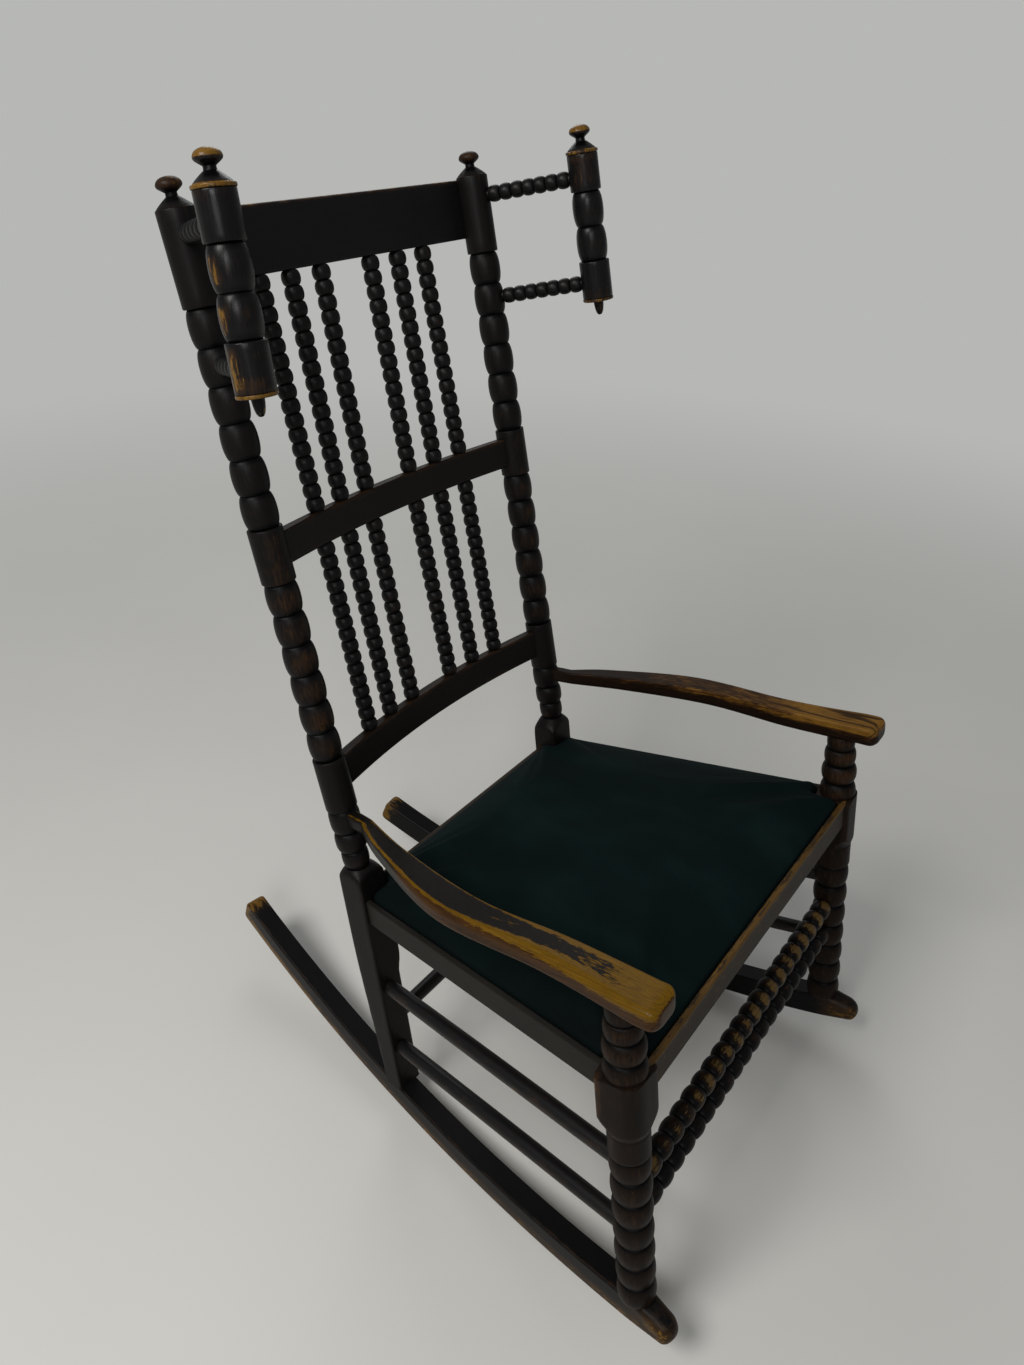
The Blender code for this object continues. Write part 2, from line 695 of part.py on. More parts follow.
def pegged_stick(name, start, end, shape, ends, sides, parent):
    """A beaded stick between two surfaces, with a round socket for its peg in each piece of ends."""
    count, radius, groove, peg = shape
    reach = (end - start).normalized()
    start = start + reach * CLEARANCE
    end = end - reach * CLEARANCE
    length = (end - start).length
    profile = bobbin_profile(length, count, radius, groove, peg)
    turned(name, profile, sides, axis_matrix(start, end), parent, EBONISED)
    socket(ends[0], name + "_socket", start - reach * TENON, start, peg, parent)
    socket(ends[1], name + "_socket", end + reach * TENON, end, peg, parent)


spindle_shape = (SPINDLE_BEADS, SPINDLE_RADIUS, SPINDLE_GROOVE_RADIUS, SPINDLE_PEG_RADIUS)
crest_under = CREST_CENTRE - CREST_HEIGHT / 2
middle_top = MIDDLE_RAIL_CENTRE + MIDDLE_RAIL_HEIGHT / 2
middle_under = MIDDLE_RAIL_CENTRE - MIDDLE_RAIL_HEIGHT / 2
lower_top = LOWER_RAIL_CENTRE + LOWER_RAIL_HEIGHT / 2
for number, x in enumerate(SPINDLE_X, 1):
    middle_y = bow_at(x, MIDDLE_RAIL_CENTRE, BOW)
    start = Vector((x, middle_y, middle_top))
    end = Vector((x, CREST_SETBACK + bow_at(x, CREST_CENTRE, CREST_BOW), crest_under))
    ends = (middle, crest)
    pegged_stick(f"upper_spindle_{number}", start, end, spindle_shape, ends, SPINDLE_SIDES, back)
    start = Vector((x, bow_at(x, LOWER_RAIL_CENTRE, BOW), lower_top))
    end = Vector((x, middle_y, middle_under))
    ends = (lower, middle)
    pegged_stick(f"lower_spindle_{number}", start, end, spindle_shape, ends, SPINDLE_SIDES, back)


# Wings: a short turned post on each side, carried by two spindles from the rear post

def wing_profile():
    """From the finial down to the drop, with the cap's edge at height 0."""
    points = finial(0, WING_RADIUS)
    top = -WING_UPPER_PLAIN
    points += [(WING_RADIUS, top + CLEARANCE)]
    points += beads(top, WING_BEAD, WING_BEADS, WING_RADIUS, WING_GROOVE_RADIUS, BARREL)
    top -= WING_BEADS * WING_BEAD
    points += [(WING_GROOVE_RADIUS, top), (WING_RADIUS, top - BEAD_LEAD)]
    foot = top - WING_LOWER_PLAIN
    points += [(WING_RADIUS, foot + WING_FOOT_RING), (WING_RADIUS * 0.96, foot)]
    points += [(WING_DROP_RADIUS, foot - CLEARANCE), (WING_DROP_RADIUS, foot - WING_DROP * 0.7)]
    points += [(WING_DROP_RADIUS * 0.45, foot - WING_DROP)]
    return points


def wing_point(side, below):
    """A point of a wing post's axis, below the edge of its cap, in the frame of the back."""
    x = post_x(WING_CAP) + WING_OUT + below * math.tan(WING_LEAN_IN)
    y = below * math.tan(WING_LEAN_FORWARD) - WING_FORWARD
    return Vector((side * x, y, WING_CAP - below))


wing_shape = (WING_SPINDLE_BEADS, WING_SPINDLE_RADIUS, WING_SPINDLE_GROOVE_RADIUS, SPINDLE_PEG_RADIUS)
for name, side in SIDES.items():
    cap = wing_point(side, 0)
    place = axis_matrix(cap, wing_point(side, -1))
    wing = turned("wing_post_" + name, wing_profile(), POST_SIDES, place, back, EBONISED)
    for level_name, below in WING_SPINDLE_LEVELS.items():
        level = WING_CAP - below
        start = post_point(side, level)
        end = wing_point(side, below)
        reach = (end - start).normalized()
        start = start + reach * POST_RADIUS
        end = end - reach * WING_RADIUS
        label = f"{level_name}_wing_spindle_{name}"
        pegged_stick(label, start, end, wing_shape, (rear_posts[name], wing), SPINDLE_SIDES, back)


# Arm tongues enter the rear posts

for name, side in SIDES.items():
    post = rear_posts[name]
    start = arm_anchor + tongue_way * (POST_RADIUS - TENON - CLEARANCE)
    end = arm_anchor + tongue_way * (POST_RADIUS + CUT_MARGIN)
    wide = tongue_across * (ARM_TONGUE_WIDTH / 2 + CLEARANCE)
    outline = [start - wide, end - wide, end + wide, start + wide]
    place = Matrix.Translation((0, 0, ARM_TOP_Z - ARM_REAR_THICKNESS / 2))
    plan = [(side * spot.x, spot.y) for spot in outline]
    tool = board(post.name + "_arm_mortise", plan, ARM_REAR_THICKNESS + 2 * CLEARANCE, place, upright)
    boolean(post, "DIFFERENCE", tool)


# Seat rails, tenoned into the legs, with a rebate that the drop-in seat rests in

def rail_between(name, start, end, start_depth, end_depth, ends):
    """A rail with its top edge on the line between two axis points, entering the piece at each end."""
    reach = (end - start).normalized()
    first = start + reach * (start_depth - TENON)
    last = end - reach * (end_depth - TENON)
    middle_point = (first + last) / 2
    length = (last - first).length
    across = UP.cross(reach).normalized()
    rise = reach.cross(across)
    turn = Matrix((reach, across, rise)).transposed().to_4x4()
    place = Matrix.Translation(middle_point - rise * SEAT_RAIL_HEIGHT / 2) @ turn
    size = (length, SEAT_RAIL_THICKNESS, SEAT_RAIL_HEIGHT)
    rail = block(name, size, place, upright, EBONISED)
    grown = [value + 2 * CLEARANCE for value in size]
    tool = block(name + "_mortise", grown, place, upright)
    for piece in ends:
        boolean(piece, "DIFFERENCE", tool)
    return rail


front_line_y = FRONT_LEG_Y - FRONT_RAIL_SETOUT
rear_line_y = REAR_LEG_Y - REAR_RAIL_SETIN
seat_rails = []
ends = [Vector((side * FRONT_LEG_X, front_line_y, SEAT_FRONT_TOP_Z)) for side in (-1, 1)]
owners = (front_legs["right"], front_legs["left"])
seat_rails.append(rail_between("front_seat_rail", *ends, LEG_BAR / 2, LEG_BAR / 2, owners))
ends = [Vector((side * REAR_LEG_X, rear_line_y, SEAT_REAR_TOP_Z)) for side in (-1, 1)]
owners = (rear_posts["right"], rear_posts["left"])
rear_depth = POST_LEG / 2 + POST_BLOCK_SWELL
seat_rails.append(rail_between("rear_seat_rail", *ends, rear_depth, rear_depth, owners))
for name, side in SIDES.items():
    start = rear_leg_point(side, SEAT_REAR_TOP_Z)
    end = front_leg_point(side, SEAT_FRONT_TOP_Z)
    owners = (rear_posts[name], front_legs[name])
    seat_rails.append(rail_between("side_seat_rail_" + name, start, end, POST_LEG / 2, LEG_BAR / 2, owners))


# The drop-in seat: its outline in the seat's frame, inside the rails' lips and notched round the legs

def seat_outline(inset):
    """Corners in order round the seat, each edge moved in by inset from the outside of the lip's rebate."""
    rear_x = rear_leg_point(1, SEAT_REAR_TOP_Z).x
    run = Vector((rear_x - FRONT_LEG_X, REAR_LEG_Y - FRONT_LEG_Y)).normalized()
    edge = (SEAT_RAIL_THICKNESS / 2 - SEAT_LIP - inset) / run.y

    def side_x(y):
        return FRONT_LEG_X + (y - FRONT_LEG_Y) * run.x / run.y + edge

    gap = SEAT_GAP + inset
    front_y = front_line_y - SEAT_RAIL_THICKNESS / 2 + SEAT_LIP + inset
    rear_y = rear_line_y + SEAT_RAIL_THICKNESS / 2 - SEAT_LIP - inset
    notch_x = FRONT_LEG_X - LEG_BAR / 2 - gap
    notch_y = FRONT_LEG_Y + LEG_BAR / 2 + gap
    post_notch_x = rear_x - POST_LEG / 2 - POST_BLOCK_SWELL - gap
    post_notch_y = REAR_LEG_Y - POST_LEG / 2 - gap
    half = [
        (notch_x, front_y),
        (notch_x, notch_y),
        (side_x(notch_y), notch_y),
        (side_x(post_notch_y), post_notch_y),
        (post_notch_x, post_notch_y),
        (post_notch_x, rear_y),
    ]
    whole = half + [(-x, y) for x, y in reversed(half)]
    return [(x, y - seat_middle_y) for x, y in whole]


recess_plan = seat_outline(-SEAT_GAP)
recess_rings = [[(x, y, z) for x, y in recess_plan] for z in (SEAT_REBATE, -SEAT_REBATE)]
recess = lofted("seat_recess", recess_rings, Matrix.Identity(4), seat)
for rail in seat_rails:
    boolean(rail, "DIFFERENCE", recess)


# Seat frame of four deal rails, with straps of webbing tacked over it

frame_inset = COVER_THICKNESS + CLEARANCE
frame_z = -SEAT_REBATE + CLEARANCE + SEAT_FRAME_THICKNESS / 2
plan = seat_outline(frame_inset)
front_edge = plan[0][1]
rear_edge = plan[5][1]
front_inner = plan[1][1] + SEAT_FRAME_WIDTH / 2
rear_inner = plan[4][1] - SEAT_FRAME_WIDTH / 2
side_run = (plan[3][0] - plan[2][0]) / (plan[3][1] - plan[2][1])


def frame_side_x(y):
    return plan[2][0] + (y - plan[2][1]) * side_run


def frame_piece(name, outline):
    place = Matrix.Translation((0, 0, frame_z))
    board(name, outline, SEAT_FRAME_THICKNESS, place, seat, DEAL)


front_corner = (frame_side_x(front_inner), front_inner)
half = [plan[0], plan[1], plan[2], front_corner]
frame_piece("seat_frame_front", half + [(-x, y) for x, y in reversed(half)])
rear_corner = (frame_side_x(rear_inner), rear_inner)
half = [rear_corner, plan[3], plan[4], plan[5]]
frame_piece("seat_frame_rear", half + [(-x, y) for x, y in reversed(half)])
for name, side in SIDES.items():
    ends = [front_inner + CLEARANCE, rear_inner - CLEARANCE]
    outer = [(frame_side_x(y), y) for y in ends]
    inner = [(x - SEAT_FRAME_WIDTH, y) for x, y in reversed(outer)]
    frame_piece("seat_frame_" + name, [(side * x, y) for x, y in outer + inner])

frame_top = frame_z + SEAT_FRAME_THICKNESS / 2
for number in range(WEBBING_STRAPS):
    share = (number + 0.5) / WEBBING_STRAPS
    y = front_inner + (rear_inner - front_inner) * share
    lower_web = frame_top + CLEARANCE + WEBBING_THICKNESS / 2
    upper_web = lower_web + CLEARANCE + WEBBING_THICKNESS
    length = 2 * (frame_side_x(y + WEBBING_WIDTH / 2) - SEAT_FRAME_WIDTH / 4)
    size = (length, WEBBING_WIDTH, WEBBING_THICKNESS)
    block(f"cross_webbing_{number + 1}", size, Matrix.Translation((0, y, lower_web)), seat, WEBBING)
    x = (share * 2 - 1) * frame_side_x(rear_inner)
    ends = (front_edge + SEAT_FRAME_WIDTH / 4, rear_edge - SEAT_FRAME_WIDTH / 8)
    size = (WEBBING_WIDTH, ends[1] - ends[0], WEBBING_THICKNESS)
    place = Matrix.Translation((x, (ends[0] + ends[1]) / 2, upper_web))
    block(f"long_webbing_{number + 1}", size, place, seat, WEBBING)


# Stuffing and velvet: a low crown with drawn-in sides, wrapped down round the frame

def divided(outline, most):
    """The outline with points added so that no side is longer than most."""
    points = []
    for (x0, y0), (x1, y1) in zip(outline, outline[1:] + outline[:1]):
        pieces = max(1, math.ceil(math.hypot(x1 - x0, y1 - y0) / most))
        points += [(x0 + (x1 - x0) * i / pieces, y0 + (y1 - y0) * i / pieces) for i in range(pieces)]
    return points


def crown_rings(inset):
    """Rings from the middle of the crown out to its edge, all moved in by inset."""
    rim = divided(seat_outline(inset), SEAT_FRAME_WIDTH * 1.4)
    rings = []
    for i in range(CUSHION_RINGS):
        share = 0.06 + 0.94 * math.sin(math.pi / 2 * i / (CUSHION_RINGS - 1))
        share = min(share, 1 - CUSHION_DRAW_IN / FRONT_LEG_X)
        height = CUSHION_EDGE + CUSHION_CROWN * math.sqrt(max(0, 1 - share ** 2.5)) - inset
        rings.append([(x * share, y * share, height) for x, y in rim])
    bulge = CUSHION_EDGE * 0.35
    rings.append([(x, y, bulge) for x, y in rim])
    return rings, rim


stuffing_bottom = frame_top + 3 * CLEARANCE + 2 * WEBBING_THICKNESS
rings, rim = crown_rings(COVER_THICKNESS + CLEARANCE)
rings.append([(x, y, stuffing_bottom) for x, y in rim])
lofted("seat_stuffing", rings, Matrix.Identity(4), seat, STUFFING)

cover_bottom = -SEAT_REBATE + CLEARANCE
outer_rings, outer_rim = crown_rings(0)
inner_rings, inner_rim = crown_rings(COVER_THICKNESS)
outer_rings.append([(x, y, cover_bottom) for x, y in outer_rim])
inner_rings.append([(x, y, cover_bottom) for x, y in inner_rim])
lofted("velvet_cover", outer_rings + list(reversed(inner_rings)), Matrix.Identity(4), seat, VELVET)


# Stretchers: beaded in front, plain at the sides and the rear

front_shape = (
    FRONT_STRETCHER_BEADS,
    FRONT_STRETCHER_RADIUS,
    FRONT_STRETCHER_GROOVE_RADIUS,
    STRETCHER_PEG_RADIUS,
)
owners = (front_legs["right"], front_legs["left"])
for level_name, height in FRONT_STRETCHERS.items():
    start, end = [front_leg_point(side, height) for side in (-1, 1)]
    start = start + ACROSS * LEG_BEAD_RADIUS
    end = end - ACROSS * LEG_BEAD_RADIUS
    pegged_stick(f"{level_name}_front_stretcher", start, end, front_shape, owners, STRETCHER_SIDES, upright)


def plain_stretcher(name, start, end, start_depth, end_depth, ends):
    """A round bar whose ends enter the legs."""
    reach = (end - start).normalized()
    first = start + reach * (start_depth - TENON)
    last = end - reach * (end_depth - TENON)
    profile = [(SIDE_STRETCHER_RADIUS, (last - first).length), (SIDE_STRETCHER_RADIUS, 0)]
    turned(name, profile, STRETCHER_SIDES, axis_matrix(first, last), upright, EBONISED)
    socket(ends[0], name + "_socket", first, first + reach * TENON, SIDE_STRETCHER_RADIUS, upright)
    socket(ends[1], name + "_socket", last, last - reach * TENON, SIDE_STRETCHER_RADIUS, upright)


for name, side in SIDES.items():
    owners = (rear_posts[name], front_legs[name])
    for level_name, (front_z, rear_z) in SIDE_STRETCHERS.items():
        start = rear_leg_point(side, rear_z)
        end = front_leg_point(side, front_z)
        label = f"{level_name}_side_stretcher_{name}"
        plain_stretcher(label, start, end, POST_LEG / 2, LEG_GROOVE_RADIUS, owners)

start, end = [rear_leg_point(side, REAR_STRETCHER_Z) for side in (-1, 1)]
owners = (rear_posts["right"], rear_posts["left"])
plain_stretcher("rear_stretcher", start, end, POST_LEG / 2, POST_LEG / 2, owners)


# Smooth shading on the round pieces

for made in chair.objects:
    if made.type == "MESH":
        made.data.shade_smooth()
        made.data.set_sharp_from_angle(angle=math.radians(35))
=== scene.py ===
import math

import bpy
import numpy as np
from mathutils import Matrix, Vector


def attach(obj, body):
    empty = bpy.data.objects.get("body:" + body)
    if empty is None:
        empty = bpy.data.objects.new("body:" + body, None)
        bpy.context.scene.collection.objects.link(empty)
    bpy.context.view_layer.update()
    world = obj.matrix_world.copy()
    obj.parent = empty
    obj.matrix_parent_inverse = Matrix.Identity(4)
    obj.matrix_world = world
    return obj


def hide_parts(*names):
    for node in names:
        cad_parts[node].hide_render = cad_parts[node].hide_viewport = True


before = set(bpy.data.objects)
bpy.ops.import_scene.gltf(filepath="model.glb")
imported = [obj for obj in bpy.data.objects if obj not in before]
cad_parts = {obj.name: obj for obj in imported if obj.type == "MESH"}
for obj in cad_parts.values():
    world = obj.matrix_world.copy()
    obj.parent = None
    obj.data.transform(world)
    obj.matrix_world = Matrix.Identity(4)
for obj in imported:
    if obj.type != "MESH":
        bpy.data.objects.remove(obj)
scene = bpy.context.scene
scene.view_settings.view_transform = "Standard"
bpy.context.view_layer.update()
chance = np.random.default_rng(11)
sides = {"left": 1, "right": -1}  # the right side is the near one in the main view
print("frame loaded,", len(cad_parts), "nodes")


# Shader maths: an expression on sockets adds its nodes

class Sock:
    def __init__(self, tree, out):
        self.tree = tree
        self.out = out

    def node(self, kind, settings=None, inputs=None, out=0):
        made = self.tree.nodes.new("ShaderNode" + kind)
        for key, value in (settings or {}).items():
            setattr(made, key, value)
        for key, value in (inputs or {}).items():
            if isinstance(value, Sock):
                self.tree.links.new(value.out, made.inputs[key])
            else:
                made.inputs[key].default_value = value
        return Sock(self.tree, made.outputs[out])

    def sum(self, operation, first, second):
        return self.node("Math", {"operation": operation}, {0: first, 1: second})

    def __add__(self, other):
        return self.sum("ADD", self, other)

    __radd__ = __add__

    def __sub__(self, other):
        return self.sum("SUBTRACT", self, other)

    def __rsub__(self, other):
        return self.sum("SUBTRACT", other, self)

    def __mul__(self, other):
        return self.sum("MULTIPLY", self, other)

    __rmul__ = __mul__

    def top(self, other):
        return self.sum("MAXIMUM", self, other)

    def step(self, low, high):  # smooth step from 0 at low to 1 at high
        limits = {"Value": self, "From Min": low, "From Max": high}
        return self.node("MapRange", {"interpolation_type": "SMOOTHSTEP"}, limits)

    def noise(self, scale, detail=3.0, roughness=0.55):
        values = {"Vector": self, "Scale": scale, "Detail": detail, "Roughness": roughness}
        return self.node("TexNoise", {}, values)

    def times(self, vector):
        return self.node("VectorMath", {"operation": "MULTIPLY"}, {0: self, 1: vector})

    def mix(self, first, second):  # self is the factor between two colours
        return self.node("Mix", {"data_type": "RGBA"}, {0: self, 6: first, 7: second}, 2)

    def bump(self, strength, distance):  # self is the height
        return self.node("Bump", {}, {"Strength": strength, "Distance": distance, "Height": self})


def tint(red, green, blue):
    # screen values 0-255 to the linear colour of a shader
    c = np.array([red, green, blue]) / 255
    linear = np.where(c <= 0.04045, c / 12.92, ((c + 0.055) / 1.055) ** 2.4)
    return (*(float(x) for x in linear), 1.0)


def newFinish(name):
    # a fresh material, its shader, and a socket to write expressions from
    made = bpy.data.materials.new(name)
    made.use_nodes = True
    shader = made.node_tree.nodes["Principled BSDF"]
    return made, shader, Sock(made.node_tree, shader.outputs[0])


def wire(shader, **sockets):
    # links sockets and sets plain values, by the names of the shader's inputs
    for key, value in sockets.items():
        socket = shader.inputs[key.replace("_", " ")]
        if isinstance(value, Sock):
            value.tree.links.new(value.out, socket)
        else:
            socket.default_value = value


# Wood: a dark film over a brown stain over bare timber. The attribute grain runs along the fibres in
# its z, rub is how far a spot stands proud, and bare is the share of the film that hands have worn off.

ebonisedLook = {
    "film": (tint(9, 9, 10), tint(19, 17, 17)),
    # colour taken in the grooves, darker than the film
    "soot": tint(4, 4, 5),
    "stain": (tint(30, 20, 13), tint(54, 36, 21)),
    "timber": (tint(76, 52, 15), tint(122, 90, 34)),
    "lines": (tint(36, 23, 10), 0.35),
    "brown": 0.10,  # stain that shows through everywhere
    "rubbed": 0.20,  # more of it on what stands proud
    "halo": 0.9,  # and more about bare timber
    "flake": 0.10,  # how softly the film's edge fades
    "stretch": 0.05,  # how far the fibres are drawn out
    "rings": 40.0,  # scale of the year rings
    "fleck": 380,  # scale of the chips in the film
    "blotch": 1.3,  # share of larger patches in its ragged edge
    "roughness": 0.30,
    "shine": 0.15,
    "bump": 0.22,
}


def woodFinish(name, **changes):
    # colour = film, stain or timber, as ragged thresholds on brown and bare let each through
    look = {**ebonisedLook, **changes}
    made, shader, s = newFinish(name)
    grain, rub, bare = (s.node("Attribute", {"attribute_name": key}, out=out)
                        for key, out in (("grain", "Vector"), ("rub", "Fac"), ("bare", "Fac")))
    fibre = grain.times((1, 1, look["stretch"]))
    streak = fibre.noise(620, 4, 0.6)
    pores = fibre.noise(1700, 2, 0.5)
    fleck = grain.times((1, 1, 0.20)).noise(look["fleck"], 6, 0.68)
    patch = grain.times((1, 1, 0.5)).noise(75, 3, 0.55)
    cloud = grain.noise(17, 3, 0.5)
    rag = (fleck - 0.5) * 2.4 + (patch - 0.5) * look["blotch"] + (streak - 0.5) * 0.7
    film = (cloud * 0.7 + streak * 0.9 - 0.3).mix(*look["film"])
    # rows sunk below their neighbours, the grooves, turn to the darker groove colour
    film = rub.step(-0.9, -0.1).mix(look["soot"], film)
    brown = (rub * look["rubbed"] + bare * look["halo"] + look["brown"]) * 2.2 - 1.1 + rag * 0.8
    timberOn = (bare * 2.3 - 1.15 + rag).step(-look["flake"], look["flake"])
    rings = {"Vector": fibre, "Scale": look["rings"], "Distortion": 4.0, "Detail": 2.0, "Detail Scale": 1.2}
    figure = s.node("TexWave", {"wave_type": "RINGS", "rings_direction": "Z"}, rings, "Fac")
    stain = (streak * 1.3 + figure * 0.3 - 0.3).mix(*look["stain"])
    timber = (figure * 0.25 + streak * 0.9 + cloud * 0.7 - 0.45).mix(*look["timber"])
    lineColour, lineShare = look["lines"]
    marks = (figure.step(0.66, 0.97) * lineShare).top(pores.step(0.58, 0.72) * 0.55)
    timber = marks.mix(timber, lineColour)
    colour = timberOn.mix(brown.step(-0.5, 0.5).mix(film, stain), timber)
    gloss = look["roughness"] + (fleck - 0.5) * 0.22 + (streak - 0.5) * 0.16 - timberOn * 0.04 - rub * 0.03
    height = streak * 0.5 + pores * 0.3 + fleck * 0.3 - timberOn * 0.3
    wire(shader, Base_Color=colour, Roughness=gloss, Normal=height.bump(look["bump"], 0.001))
    wire(shader, Specular_IOR_Level=look["shine"])
    return made


ebonised = woodFinish("ebonised_turning")
brownLeg = woodFinish("brown_turning", film=(tint(13, 10, 8), tint(24, 18, 14)), brown=0.32,
                      stain=(tint(31, 21, 14), tint(55, 37, 23)), roughness=0.42, shine=0.05)
barBlack = woodFinish("ebonised_bar", roughness=0.40, shine=0.20, brown=0.14)
stretcherWood = woodFinish("worn_stretcher", roughness=0.40, shine=0.08,
                           timber=(tint(70, 54, 27), tint(113, 89, 49)))
postBlack = woodFinish("ebonised_post", film=(tint(10, 9, 9), tint(20, 17, 16)), brown=0.13, roughness=0.42,
                       shine=0.09)
spindleBlack = woodFinish("ebonised_spindle", film=(tint(9, 9, 9), tint(18, 16, 16)), soot=tint(6, 6, 6), brown=0.12,
                          roughness=0.40, shine=0.13)
boardBlack = woodFinish("ebonised_board", brown=0.06, roughness=0.42)
boardBrown = woodFinish("ebonised_back_rail", film=(tint(12, 10, 9), tint(22, 18, 15)), brown=0.16, roughness=0.44,
                        shine=0.10)
railGrey = woodFinish("seat_rail_wood", film=(tint(18, 15, 12), tint(35, 29, 23)), brown=0.24,
                      stain=(tint(31, 24, 16), tint(54, 41, 27)), timber=(tint(60, 43, 19), tint(98, 72, 35)),
                      roughness=0.46, shine=0.07)
sideRailWood = woodFinish("side_rail_wood", film=(tint(18, 17, 15), tint(34, 31, 27)), brown=0.10,
                          stain=(tint(30, 25, 18), tint(50, 41, 30)), roughness=0.46, shine=0.07)
rockerWood = woodFinish("rocker_finish", film=(tint(9, 9, 10), tint(18, 17, 17)), brown=0.05, rubbed=0.52,
                        stain=(tint(32, 23, 14), tint(56, 40, 25)), roughness=0.40, shine=0.08)
nearArmWood = woodFinish("worn_arm_near", film=(tint(10, 9, 8), tint(22, 19, 15)), brown=0.06, rubbed=0.95,
                         halo=0.55, flake=0.07, fleck=480, blotch=0.7, stain=(tint(34, 20, 8), tint(66, 41, 15)),
                         timber=(tint(72, 50, 5), tint(112, 81, 15)), roughness=0.33, rings=70.0, shine=0.09)
farArmWood = woodFinish("worn_arm_far", film=(tint(14, 9, 6), tint(28, 18, 11)), brown=0.13, flake=0.5,
                        stain=(tint(46, 27, 11), tint(78, 50, 21)), timber=(tint(80, 54, 17), tint(128, 92, 36)),
                        lines=(tint(26, 15, 7), 0.9), roughness=0.40, rings=64.0, shine=0.06)


# The chair's own frames: upright chair, raked back and drop-in seat

stance = {
    "tilt": 9.3, "standY": 0.006, "standZ": 0.0232,
    "frontLeg": (0.2565, -0.357), "rearLeg": (0.1975, 0.042),
    "rearSplay": 0.15, "rake": 4.75, "postSplay": 0.55, "blockTop": 0.376,
    "seatFront": 0.342, "seatRear": 0.335,
}
(fx, fy), (rx, ry) = stance["frontLeg"], stance["rearLeg"]
rearSpread, postSpread = (math.tan(math.radians(stance[key])) for key in ("rearSplay", "postSplay"))


def leanBack(degrees):
    # y' = y cos + z sin, z' = z cos - y sin
    a = math.radians(degrees)
    return np.array([[1, 0, 0], [0, math.cos(a), math.sin(a)], [0, -math.sin(a), math.cos(a)]])


chairTurn = leanBack(stance["tilt"])
backTurn = chairTurn @ leanBack(stance["rake"])
seatSlope = math.degrees(math.atan2(stance["seatFront"] - stance["seatRear"], ry - fy))
seatTurn = chairTurn @ leanBack(seatSlope)


def fromChair(p):
    # from the upright chair: leant back, then set on its rockers
    return np.asarray(p, float) @ chairTurn.T + (0, stance["standY"], stance["standZ"])


backFoot = fromChair((0, ry, stance["blockTop"]))
seatMiddleY = (fy + ry) / 2
seatFoot = fromChair((0, seatMiddleY, (stance["seatFront"] + stance["seatRear"]) / 2))


def fromBack(p):
    # from the raked back, measured from the tops of the rear blocks
    return np.asarray(p, float) @ backTurn.T + backFoot


def fromSeat(p):
    # from the seat's own slope, measured from its middle
    return np.asarray(p, float) @ seatTurn.T + seatFoot


# Meshes from grids

def camel(node):
    # arm_left becomes armLeft
    first, *rest = node.split("_")
    return first + "".join(word.capitalize() for word in rest)


def gridPiece(node, rings, finish, paints, sharp=38, body="chair_frame"):
    # a grid of rows by columns, closed round each row, with a middle point closing each end row
    rows, columns = rings.shape[:2]
    points = np.concatenate([rings.reshape(-1, 3), rings[[0, -1]].mean(axis=1)])
    i, j = np.meshgrid(np.arange(rows - 1), np.arange(columns), indexing="ij")
    k = (j + 1) % columns
    quads = np.stack([i * columns + j, i * columns + k, (i + 1) * columns + k, (i + 1) * columns + j], -1)
    quads = quads.reshape(-1, 4)
    c = np.arange(columns)
    n = (c + 1) % columns
    last = (rows - 1) * columns
    foot = np.stack([np.full(columns, rows * columns), n, c], -1)
    head = np.stack([np.full(columns, rows * columns + 1), last + c, last + n], -1)
    tris = np.concatenate([foot, head])
    middle = points.mean(axis=0)
    a, b, d, e = (points[quads[:, q]] - middle for q in range(4))
    volume = np.einsum("ij,ij->", a, np.cross(b, d)) + np.einsum("ij,ij->", a, np.cross(d, e))
    if volume < 0:
        quads, tris = quads[:, ::-1], tris[:, ::-1]
    mesh = bpy.data.meshes.new(camel(node))
    loops = np.concatenate([quads.ravel(), tris.ravel()])
    starts = np.concatenate([np.arange(len(quads)) * 4, len(quads) * 4 + np.arange(len(tris)) * 3])
    mesh.vertices.add(len(points))
    mesh.vertices.foreach_set("co", points.astype(np.float32).ravel())
    mesh.loops.add(len(loops))
    mesh.loops.foreach_set("vertex_index", loops.astype(np.int32))
    mesh.polygons.add(len(starts))
    mesh.polygons.foreach_set("loop_start", starts.astype(np.int32))
    mesh.update(calc_edges=True)
    for key, values in paints.items():
        flat = values.reshape(rows * columns, -1)
        flat = np.concatenate([flat, values[[0, -1]].reshape(2, columns, -1).mean(axis=1)])
        kind, field = ("FLOAT_VECTOR", "vector") if flat.shape[1] == 3 else ("FLOAT", "value")
        mesh.attributes.new(key, kind, "POINT").data.foreach_set(field, flat.astype(np.float32).ravel())
    mesh.shade_smooth()
    mesh.set_sharp_from_angle(angle=math.radians(sharp))
    mesh.materials.append(finish)
    made = bpy.data.objects.new(camel(node), mesh)
    scene.collection.objects.link(made)
    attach(made, body)
    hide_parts(node)
    return made


def smoothStep(x, low, high):
    # 3t^2 - 2t^3, from 0 at low to 1 at high
    t = np.clip((x - low) / (high - low), 0, 1)
    return t * t * (3 - 2 * t)


# Turned profiles, as rows of (height, radius) from the foot up

def plain(low, high, radius, edge=0.0012):
    # a cylinder with quarter-round ends: r = radius - edge (1 - sin a)
    ease = np.linspace(0, math.pi / 2, 4)
    foot = np.stack([low + edge * (1 - np.cos(ease)), radius - edge * (1 - np.sin(ease))], 1)
    t = np.linspace(0, 1, 9)[1:-1]
    shaft = np.stack([low + edge + (high - low - 2 * edge) * t, radius + 0 * t], 1)
    head = np.stack([high - foot[::-1, 0] + low, foot[::-1, 1]], 1)
    return np.concatenate([foot, shaft, head])


